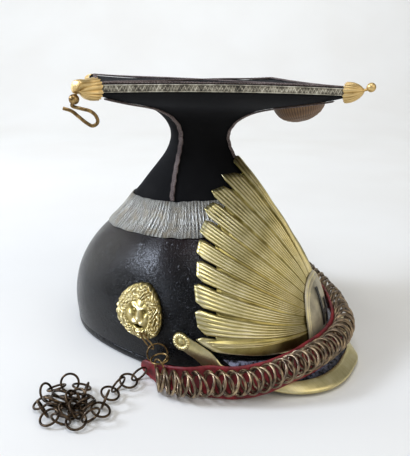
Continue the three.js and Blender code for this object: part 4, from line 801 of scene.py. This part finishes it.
# White metal, matted: warm grey with a fine grit, uneven in tone and pale on its
# raised rings.
white, tree, mm = start_finish("matted_white_metal")
hollow = add(tree, "Attribute", {"attribute_name": "depth"})["Fac"]
cloudy = add(tree, "TexNoise", {"Scale": 0.12, "Detail": 5.0}, {"Vector": mm})["Fac"]
grit = add(tree, "TexVoronoi", {"Scale": 1.6}, {"Vector": mm})["Distance"]
mixed = add(tree, "Math", {"operation": "MULTIPLY_ADD", 1: 0.5}, {0: hollow, 2: cloudy})[0]
tone = add(tree, "ValToRGB", {"stops": [(0.4, "#948C76"), (0.62, "#B3A98F"), (0.85, "#CDC29F"), (1.0, "#E4D79E")]},
    {"Fac": mixed})[0]
shade = add(tree, "Bump", {"Strength": 0.5, "Distance": 0.0002}, {"Height": grit})[0]
end_finish(tree, {"Metallic": 0.45, "Roughness": 0.45}, {"Base Color": tone, "Normal": shade})
badge = skin("domed_white_metal_badge", [(points, True, False, (200, 60), np.clip(0.25 + 0.75 * rings, 0, 1))],
    white, 60)
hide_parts("plate_badge")
# Dull metal: near-black brown, a little grey in patches.
dark, tree, mm = start_finish("near_black_numeral")
worn = add(tree, "TexNoise", {"Scale": 0.8, "Detail": 4.0}, {"Vector": mm})["Fac"]
tone = add(tree, "ValToRGB", {"stops": [(0.4, "#211F1D"), (0.75, "#4A4740")]}, {"Fac": worn})[0]
end_finish(tree, {"Roughness": 0.5, "Metallic": 0.3}, {"Base Color": tone})
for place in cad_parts["badge_numeral"].material_slots:
    place.material = dark

# Peak: a shaped tongue of the same waxed leather, sewn under the front of the skull
# from side to side and sloping out and down, warped with age on its left.
PEAK_HALF, PEAK_SEAT, PEAK_SLACK = 0.9, 2.0, 9.5
PEAK = np.array([(0, 15.2, 0, -139.8, 3.6), (10, 15.3, 17, -139, 3.5), (19, 15.5, 32, -136.2, 3.4),
    (28, 15.8, 46, -130.4, 3.3), (36, 16.2, 58, -121.4, 3.3), (44, 17, 68, -109.4, 3.6), (51, 18, 75.8, -95, 4.8),
    (57, 18.6, 81.4, -79.6, 7.8), (61.5, 19.4, 86, -65, 11)])
PEAK_ROUND = np.column_stack([np.arange(17), np.concatenate([PEAK[:0:-1] * [-1, 1, -1, 1, 1], PEAK])])
PEAK_ROUND[9:, 4] += PEAK_SLACK * np.sin(np.pi * np.minimum(1, PEAK[1:, 2] / 60)) ** 0.8


def ends_closed(points):
    """A tube drawn shut: one more ring at each end, all its points at the middle of the end ring."""
    first, last = (ring.mean(1, keepdims=True).repeat(points.shape[1], 1) for ring in (points[:1], points[-1:]))
    return np.concatenate([first, points, last])


def peak_at(place):
    """Seam, edge, and unit ways across and out of the face, at places 0 to 16 along the peak from the wearer's
    right."""
    def ends(p):
        row = along_rows(PEAK_ROUND, p)
        return at_height(row[:, 2], np.radians(row[:, 1]), PEAK_SEAT), row[:, 3:6]
    seam, edge = ends(place)
    across = unit(edge - seam)
    ahead = ends(place + 0.5)[1] - ends(place - 0.5)[1]
    face = np.cross(across, unit(ahead))
    return seam, edge, across, unit(face), along_rows(PEAK_ROUND, place)[:, 1]


place = np.linspace(0.7, 15.3, 260)
seam, edge, across, face, degrees = peak_at(place)
share = np.concatenate([[0], np.linspace(0.01, 0.985, 30), [1, 1], np.linspace(0.985, 0.01, 30)])
face_side = np.concatenate([[0], np.ones(30), [0.5, -0.5], -np.ones(30)])
rise = face_side * PEAK_HALF
lumps = 0.25 * waves(place[:, None] * 1.2, share[None] * 5, 31)
arch = 1.4 * np.sin(np.pi * share)[None] * (np.cos(np.radians(degrees)) ** 2)[:, None] + lumps
points = (seam[:, None] + (edge - seam - across * 0.3)[:, None] * share[None, :, None]
    + face[:, None] * (arch + rise)[..., None])
points = ends_closed(points)
# Depth here is high on the top face near the seam, where the leather finish paints pale blue-grey patches as
# painted reflection.
rubbed = np.broadcast_to(0.5 + 0.5 * ease((0.8 - share) / 0.3) * (face_side > 0.9), points.shape[:2])
peak = skin("leather_peak", [(racked(points), False, True, (300, 90), rubbed)], waxed, 60)
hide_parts("peak")

# Binding of the peak: a channel of sheet brass pressed over its edge, carried on at
# each side as a flat arm along the skull and fixed there by a knurled stud.
BIND_IN, BIND_OUT, BIND_WIDE = 1.2, 2.0, 9.5
# STUD_DEGREE: millimetres to one degree round the hat where the stud sits.
STUD_AT, STUD_HEIGHT, STUD_R, STUD_DEGREE = 73.6, 31, 6.1, 1.85
lip = np.array([(9.9, 3.0), (9.3, 3.5), (7, 3.35), (4, 2.9), (1.5, 2.35), (0, 2.05), (-0.8, 1.55), (-1.25, 0.6),
    (-1.25, -0.6), (-0.8, -1.5), (0, -2.0), (2, -2.0), (4.3, -2.0), (4.5, -1.6), (4.3, -1.2), (2, -1.2),
    (-0.3, -1.2), (-0.3, 1.2), (1.5, 1.5), (4, 2.1), (7, 2.55), (9.3, 2.7)])
place = np.linspace(0, 16, 320)
seam, edge, across, face, degrees = peak_at(place)
points = edge[:, None] - across[:, None] * lip[None, :, :1] + face[:, None] * lip[None, :, 1:]
points = ends_closed(points)
made = [(racked(points), False, True, (340, 34), np.full(points.shape[:2], 0.75))]
for side in (-1, 1):
    last, inward = (16.0, 15.0) if side > 0 else (0.0, 1.0)
    seam, edge, across, face, degrees = peak_at(np.array([inward, last]))
    four = [edge - across * w + face * h for w,
        h in ((-1.1, BIND_IN), (BIND_WIDE, 2.7), (BIND_WIDE, 3.5), (-1.1, BIND_OUT))]
    arm = np.array([(64.6, 14.6, 62.4, 25.4, 6.4), (69.4, 20.4, 66.6, 30.2, 5.4), (73.4, 24.8, 70.8, 34.6, 5.2)])
    skull_four = [at_height(arm[:, h], np.radians(arm[:, d]) * side, arm[:, 4] + up) for d, h,
        up in ((0, 1, 0), (2, 3, 0), (2, 3, 0.8), (0, 1, 0.8))]
    rows = np.concatenate([np.stack(four, 1), np.stack(skull_four, 1)]).reshape(5, 12)
    rows = along_rows(np.column_stack([np.arange(5), rows]), np.linspace(0, 4, 70))[:, 1:].reshape(70, 4, 3)
    over, under = np.linspace(0, 1, 12)[None, :, None], np.linspace(1, 0, 12)[None, :, None]
    out = rows[:, 3:4] - rows[:, 0:1]
    bow = np.sin(np.pi * over) * 0.9
    points = np.concatenate([rows[:, 3:4] + (rows[:, 2:3] - rows[:, 3:4]) * over + out * bow,
        rows[:, 0:1] + (rows[:, 1:2] - rows[:, 0:1]) * under + out * bow[:, ::-1] * 0.9], 1)
    points = ends_closed(points)
    made.append((racked(points), False, True, (60, 24), np.full(points.shape[:2], 0.8)))
    shares = np.array([0, 0.12, 0.3, 0.42, 0.5, 0.6, 0.7, 0.8, 0.9, 0.97, 1.0, 1.0, 0.6, 0.0])
    highs = np.array([2.6, 2.55, 2.2, 1.5, 1.5, 2.2, 2.4, 2.2, 1.9, 1.2, 0.5, 0.0, 0.0, 0.0])
    t, k = np.meshgrid(circle(120), np.arange(14), indexing="ij")
    knurl = 0.45 * np.abs(np.sin(t * 9)) * ((k > 4) & (k < 10))
    degrees = STUD_AT + STUD_R * shares[k] * np.cos(t) / STUD_DEGREE
    stud = at_height(STUD_HEIGHT + STUD_R * shares[k] * np.sin(t), np.radians(degrees) * side,
        4.8 + highs[k] + knurl)
    made.append((racked(stud), True, False, (38, 12), 0.45 + knurl))
binding = skin("brass_peak_binding", made, brass, 45)
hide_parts("peak_binding")


# Lion bosses: a lion's mask in a full mane, cast in brass and gilt, wired through
# the skull over each ear; the chin chain hangs from their mouths.
def lion_relief(x, y):
    """Height of the mask, 0 to 1 across: a dome, swept strands broken into curls outside a face oval, and
    bell-shaped brow, eyes, nose, muzzle and jaw in it."""
    def bell(cx, cy, wx, wy, lean=0.0):
        u, v = np.abs(x) - cx, y - cy
        c, s = np.cos(lean), np.sin(lean)
        return np.exp(-(((u * c + v * s) / wx) ** 2 + ((v * c - u * s) / wy) ** 2))
    r, t = np.hypot(x, y), np.arctan2(x, y)
    dome = 5.2 * np.clip(1 - r ** 2, 0, 1) ** 0.55 + 0.7
    face = ease((0.62 - np.hypot(x / 0.86, (y + 0.05) / 1.0)) / 0.10)
    strands = np.abs(np.sin(t * 13 + 2.6 * np.sin(r * 11 + 2.1 * np.sin(t * 3)) + r * 5 * np.sign(x))) ** 0.8
    curls = np.abs(np.sin(r * 19 + 1.9 * np.sin(t * 7 + 1.0) + 1.1 * np.sin(t * 12))) ** 0.7
    mane = (1.5 * strands * (0.45 + 0.55 * curls) + 0.7 * curls) * (1 - face) * np.clip((1.04 - r) / 0.1, 0, 1)
    brow = 1.5 * bell(0.17, 0.25, 0.15, 0.06, 0.45) + 0.9 * bell(0.0, 0.38, 0.12, 0.12)
    eyes = -1.5 * bell(0.20, 0.11, 0.13, 0.09) + 1.35 * bell(0.20, 0.11, 0.06, 0.05)
    nose = (2.0 * bell(0.0, 0.05, 0.085, 0.26) + 1.5 * bell(0.0, -0.16, 0.13, 0.075) - 0.8 * bell(0.07, -0.21, 0.03,
        0.025))
    cheek = 1.1 * bell(0.33, -0.08, 0.12, 0.17) - 0.6 * bell(0.17, -0.08, 0.05, 0.15, -0.4)
    muzzle = 1.9 * bell(0.13, -0.30, 0.12, 0.085) - 0.9 * bell(0.0, -0.27, 0.02, 0.08)
    mouth = -2.6 * bell(0.0, -0.44, 0.17, 0.055) + 1.6 * bell(0.0, -0.55, 0.13, 0.06)
    ears = 1.6 * bell(0.47, 0.47, 0.10, 0.09) - 1.0 * bell(0.47, 0.46, 0.04, 0.04)
    return dome + mane + face * (brow + eyes + nose + cheek + muzzle + mouth + 0.5) + ears


# BOSS_DEGREE: millimetres to one degree round the hat at the boss.
BOSS_AT, BOSS_HEIGHT, BOSS_WIDE, BOSS_TALL, BOSS_DEGREE = 91.0, 43.0, 18.0, 18.8, 1.95
# Gilt brass, cast: yellow on the raised hair, olive brown in the hollows.
cast, tree, mm = start_finish("gilt_brass_casting")
hollow = add(tree, "Attribute", {"attribute_name": "depth"})["Fac"]
cloudy = add(tree, "TexNoise", {"Scale": 0.3, "Detail": 5.0}, {"Vector": mm})["Fac"]
mixed = add(tree, "Math", {"operation": "MULTIPLY_ADD", 1: 0.4}, {0: cloudy, 2: hollow})[0]
tone = add(tree, "ValToRGB", {"stops": [(0.22, "#453B1C"), (0.45, "#8A7A45"), (0.72, "#BBA970"), (1.0, "#DCCFA0")]},
    {"Fac": mixed})[0]
end_finish(tree, {"Metallic": 1.0, "Roughness": 0.36}, {"Base Color": tone})
for name, side in (("right", -1), ("left", 1)):
    shares = np.concatenate([np.linspace(0, 1, 120), [1.0, 0.6, 0.0]])
    t, k = np.meshgrid(circle(360), np.arange(123), indexing="ij")
    uneven = 1 + 0.025 * np.abs(np.cos(t * 12))
    x, y = shares[k] * np.cos(t), shares[k] * np.sin(t)
    relief = lion_relief(x, y)
    base = 5.2 * np.clip(1 - shares[k] ** 2, 0, 1) ** 0.55 + 0.7
    lift = np.where(k < 120, 0.7 + relief * 0.92, 0.7)
    degrees = BOSS_AT + x * uneven * BOSS_WIDE / BOSS_DEGREE
    points = at_height(BOSS_HEIGHT + y * uneven * BOSS_TALL, np.radians(degrees) * side, lift)
    boss = skin("lion_mask_boss_" + name,
        [(racked(points), True, False, (113, 20), np.clip(0.15 + (relief - base) * 0.33, 0, 1))], cast, 80)
    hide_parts("lion_boss_" + name)


# Loops and link rings: thin browned brass wire bent through each lion's mouth, and
# wire rings that join it to the strap's end and to the chain.
def hoop(centre, axis, radius, thick, steps=48, sides=10):
    """A ring: a circle of wire thickness carried round a circle of the ring's radius, square to its axis."""
    axis = np.asarray(axis, float) / np.linalg.norm(axis)
    first = np.cross(axis, (0.0, 0.0, 1.0) if abs(axis[2]) < 0.9 else (1.0, 0.0, 0.0))
    first /= np.linalg.norm(first)
    second = np.cross(axis, first)
    a, b = np.meshgrid(circle(steps), circle(sides), indexing="ij")
    wide = radius + thick * np.cos(b)
    return (np.asarray(centre) + first * (wide * np.cos(a))[..., None] + second * (wide * np.sin(a))[..., None]
            + axis * (thick * np.sin(b))[..., None])


LOOP = np.array([(-100.8, 5.6, 31.4), (-101, 3, 26.6), (-100.2, 0.2, 22.6), (-99.8, -2.4, 20.4),
    (-99.9, -4.8, 21.4), (-100.4, -3, 24.8), (-101, 0, 28), (-100.8, 2.8, 31.4)])
LINKS = (("right_1", (-98.7, -28.6, 16.9), (-0.74, -0.58, 0.35), 7.2),
    ("right_2", (-105.4, -36.2, 18.6), (-0.12, 0.05, 0.99), 6.2),
    ("right_3", (-111.3, -40.4, 16.6), (-0.96, 0.27, -0.02), 5.4),
    ("left_1", (99.9, 14.9, 17), (0.8, -0.5, 0.35), 7), ("left_2", (102.2, 8.2, 19.8), (0.3, 0.1, 0.95), 5.6))
for name, side in (("right", 1), ("left", -1)):
    bent = racked(wire(through(LOOP * [side, 1, 1], 90), 0.62, 12))
    loop = skin("mouth_wire_loop_" + name, [(bent, False, True, (50, 4))], old_brass, 60)
    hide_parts("boss_loop_" + name)
for name, centre, axis, radius in LINKS:
    ring = skin("open_link_ring_" + name, [(hoop(centre, axis, radius, 0.62), True, True, (2 * np.pi * radius, 4))],
        old_brass, 60)
    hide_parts("link_ring_" + name)

# Chin strap: a long tongue of red leather, folded over a cord along both edges, that
# backs the chain from the right side, over the peak's front, to the left boss.
STRAP = np.array([(-103.2, -18.5, 3.6, -103.2, -19, 13.2), (-105.2, -29, 1.2, -105, -30, 14),
    (-108.8, -42.5, 0.9, -108.6, -44.5, 18.4), (-107.8, -60, 0.9, -106.8, -61.5, 21.6),
    (-101.8, -75.4, 0.9, -97, -72.2, 21.6), (-93.8, -91.6, 0.9, -88, -86.2, 21),
    (-83, -106.6, 4.2, -75.6, -99.6, 22.6), (-68.2, -120, 10.5, -60.6, -111, 26.4),
    (-50, -126.6, 11, -43.6, -116, 28), (-29, -130.2, 11.6, -24, -119.4, 29), (-9, -130.6, 12.8, -6, -118.8, 30.4),
    (8, -125.8, 14.4, 7.4, -114.4, 32.6), (24.6, -114, 15.6, 23.6, -105.6, 34.6),
    (39.8, -101.8, 16.4, 38.6, -95.6, 35.6), (53.6, -88, 17.2, 52, -83.4, 36.6),
    (67.2, -73.2, 18.6, 65.6, -69.4, 38), (80.4, -55.4, 20.8, 79, -52, 40.2), (90.8, -34, 23.2, 89.4, -31.6, 42.6),
    (98, -13, 26, 96.8, -11.6, 43.4), (100.6, -2, 27, 99.8, -1, 39)])
STRAP_THICK = 1.8


def strap_at(place):
    """Low edge, high edge, and unit ways up and outwards at places 0 to 1 along the strap."""
    row = lambda p: along_rows(np.column_stack([np.linspace(0, 1, 20), STRAP]), p)[:, 1:]
    here, ahead = row(place), row(np.minimum(1, place + 0.004))[:, :3] - row(np.maximum(0, place - 0.004))[:, :3]
    up = here[:, 3:] - here[:, :3]
    out = np.cross(ahead, up)
    return here[:, :3], here[:, 3:], unit(up), unit(out)


place = np.linspace(0, 1, 400)
low, high, up, out = strap_at(place)
swing = circle(44)
wide = np.linalg.norm(high - low, axis=1)
wide = (wide * np.sqrt(np.clip(1 - (1 - np.clip(place / 0.028, 0, 1)) ** 2, 0.08, 1))
    * np.sqrt(np.clip(1 - (1 - np.clip((1 - place) / 0.02, 0, 1)) ** 2, 0.08, 1)))
height = squarish(np.sin(swing), 0.75)
roll = 0.9 + 0.55 * np.exp(-((np.abs(height) - 0.86) / 0.11) ** 2)
deep = squarish(np.cos(swing), 0.45) * roll
pucker = 0.18 * np.sin(place * 260)[:, None] * np.abs(height)[None] ** 4
points = (((low + high) / 2)[:, None] + up[:, None] * (height[None] * (wide / 2)[:, None])[..., None]
    + out[:, None] * (0.9 + deep[None] + pucker)[..., None])
points = ends_closed(points)
points[..., 2] = np.maximum(points[..., 2], 0.0)
# Goatskin, dyed red: pores about a millimetre apart and clouds of darker and lighter
# red, duller where lighter.
red, tree, mm = start_finish("red_goatskin")
pores = add(tree, "TexVoronoi", {"Scale": 1.1}, {"Vector": mm})["Distance"]
cloudy = add(tree, "TexNoise", {"Scale": 0.12, "Detail": 6.0, "Roughness": 0.65}, {"Vector": mm})["Fac"]
tone = add(tree, "ValToRGB",
    {"stops": [(0.28, "#3E0A10"), (0.46, "#6C151C"), (0.64, "#8C2026"), (0.85, "#A83A32")]}, {"Fac": cloudy})[0]
rough = add(tree, "MapRange", {"From Min": 0.3, "From Max": 0.7, "To Min": 0.42, "To Max": 0.62},
    {"Value": cloudy})[0]
shade = add(tree, "Bump", {"Strength": 0.35, "Distance": 0.0002}, {"Height": pores})[0]
end_finish(tree, {"Specular IOR Level": 0.4}, {"Base Color": tone, "Roughness": rough, "Normal": shade})
strap = skin("red_leather_chin_strap", [(points, False, True, (360, 42))], red, 60)
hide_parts("strap_backing")

# Curb chain on the strap: round rings of brownish wire, crowded so that they lean one
# on the next, sewn to the leather.  They are set side by side at a pitch, and not
# linked in the order of a real curb chain.
CURB_R, CURB_WIRE, CURB_PITCH, CURB_MARGIN = 7.6, 1.0, 4.0, 24.0
# Brass wire, browned: clouded dark brown to pale buff, rougher where it is paler.
chain, tree, mm = start_finish("browned_brass_chain_wire")
cloudy = add(tree, "TexNoise", {"Scale": 0.22, "Detail": 4.0}, {"Vector": mm})["Fac"]
tone = add(tree, "ValToRGB", {"stops": [(0.3, "#4A423A"), (0.5, "#7D6D5A"), (0.68, "#AD9777"), (0.8, "#D6C4A2")]},
    {"Fac": cloudy})[0]
rough = add(tree, "MapRange", {"From Min": 0.3, "From Max": 0.7, "To Min": 0.26, "To Max": 0.42},
    {"Value": cloudy})[0]
end_finish(tree, {"Metallic": 1.0}, {"Base Color": tone, "Roughness": rough})
place = np.linspace(0, 1, 1200)
low, high, up, out = strap_at(place)
middle = low + (high - low) * 0.52 + out * (STRAP_THICK + 5.1)
walked = np.concatenate([[0], np.cumsum(np.linalg.norm(np.diff(middle, axis=0), axis=1))])
count = int((walked[-1] - 2 * CURB_MARGIN) // CURB_PITCH)
dice = np.random.default_rng(12)
rings, fifth = [[] for _ in range(5)], -(-count // 5)
for i in range(count):
    where = np.interp(CURB_MARGIN + (i + 0.5) * CURB_PITCH, walked, np.arange(1200))
    k = int(where)
    lean = np.radians((50 if i % 2 else 41) + dice.uniform(-3, 3))
    ahead = np.cross(up[k], out[k])
    axis = (out[k] * np.cos(lean) - ahead * np.sin(lean)
        + up[k] * np.sin(np.radians((12 if i % 2 else -12) + dice.uniform(-6, 6))))
    rings[i // fifth].append((hoop(middle[k] + up[k] * ((0.5 if i % 2 else -0.5) + dice.uniform(-0.3, 0.3)), axis,
        CURB_R + dice.uniform(-0.15, 0.15), CURB_WIRE, 40, 9), True, True, (41, 5)))
for n, group in enumerate(rings, 1):
    piece = skin("curb_chain_rings_%d" % n, group, chain, 60)
    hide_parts("gourmette_%d" % n)

# Loose end of the chin chain: smaller rings of the same kind, each through the one
# before, gone dark, run out over the table from the strap's end and dropped there.
TAIL = [(-108.6, -24.6), (-117.6, -22.4), (-127, -20.6), (-135.5, -20.8), (-144, -22.6), (-153.5, -28), (-164, -30),
    (-174, -24.4), (-180, -13.5), (-178.6, -1), (-170, 9.6), (-158, 13.6), (-148, 8.4), (-145.6, -2),
    (-152.4, -9.6), (-163, -9)]
TAIL_R, TAIL_WIRE, TAIL_PITCH, TAIL_FLAT, TAIL_STEEP = 6.0, 0.78, 9.15, 22.0, 66.0
# Wire bronzed dark: near-black brown, clouded every few millimetres with dull tan.
bronze, tree, mm = start_finish("darkened_bronze_wire")
cloudy = add(tree, "TexNoise", {"Scale": 0.3, "Detail": 4.0}, {"Vector": mm})["Fac"]
tone = add(tree, "ValToRGB", {"stops": [(0.3, "#241D18"), (0.5, "#4A3D31"), (0.68, "#6E5A42"), (0.82, "#8C7656")]},
    {"Fac": cloudy})[0]
end_finish(tree, {"Metallic": 1.0, "Roughness": 0.36}, {"Base Color": tone})
TAIL3 = np.column_stack([TAIL, np.zeros(len(TAIL))])
total = np.linalg.norm(np.diff(through(TAIL3, 1200), axis=0), axis=1).sum()
count = int(total // TAIL_PITCH)
route = through(TAIL3, 2 * count + 1)
for i in range(count):
    centre = route[2 * i + 1].copy()
    ahead = route[2 * i + 2] - route[2 * i]
    ahead /= np.linalg.norm(ahead)
    sideways = np.array([-ahead[1], ahead[0], 0.0])
    lean = np.radians(TAIL_FLAT if i % 2 else -TAIL_STEEP)
    axis = np.array([0, 0, np.cos(lean)]) + sideways * np.sin(lean)
    centre[2] = TAIL_R * abs(np.sin(lean)) + TAIL_WIRE + (1.8 if i % 2 else 0.0)
    ring = skin("loose_chain_ring_%02d" % (i + 1),
        [(hoop(centre, axis, TAIL_R, TAIL_WIRE, 44, 10), True, True, (38, 5))], bronze, 60)
    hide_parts("tail_ring_%02d" % (i + 1))

# More of these rings, spread at all angles by seeded draws over the last turns of the
# chain, to make them the dense heap of a dropped chain; some pass through others.
HEAP_AT, HEAP_COUNT, HEAP_TURN = np.array([-163.0, -9.0, 0]), 15, 2.4
heap = []
dice = np.random.default_rng(5)
for i in range(HEAP_COUNT):
    turn = i * HEAP_TURN
    centre = HEAP_AT + np.array([11.5 * np.cos(turn), 13.5 * np.sin(turn), 0]) * np.sqrt((i + 0.4) / HEAP_COUNT)
    lean = np.radians(dice.uniform(12, 62))
    spin = dice.uniform(0, 2 * np.pi)
    axis = np.array([np.sin(lean) * np.cos(spin), np.sin(lean) * np.sin(spin), np.cos(lean)])
    centre[2] = TAIL_R * np.sin(lean) + TAIL_WIRE + (0.2 if i % 3 else 1.6)
    heap.append((hoop(centre, axis, TAIL_R, TAIL_WIRE, 44, 10), True, True, (38, 5)))
skin("loose_chain_heap", heap, bronze, 60)
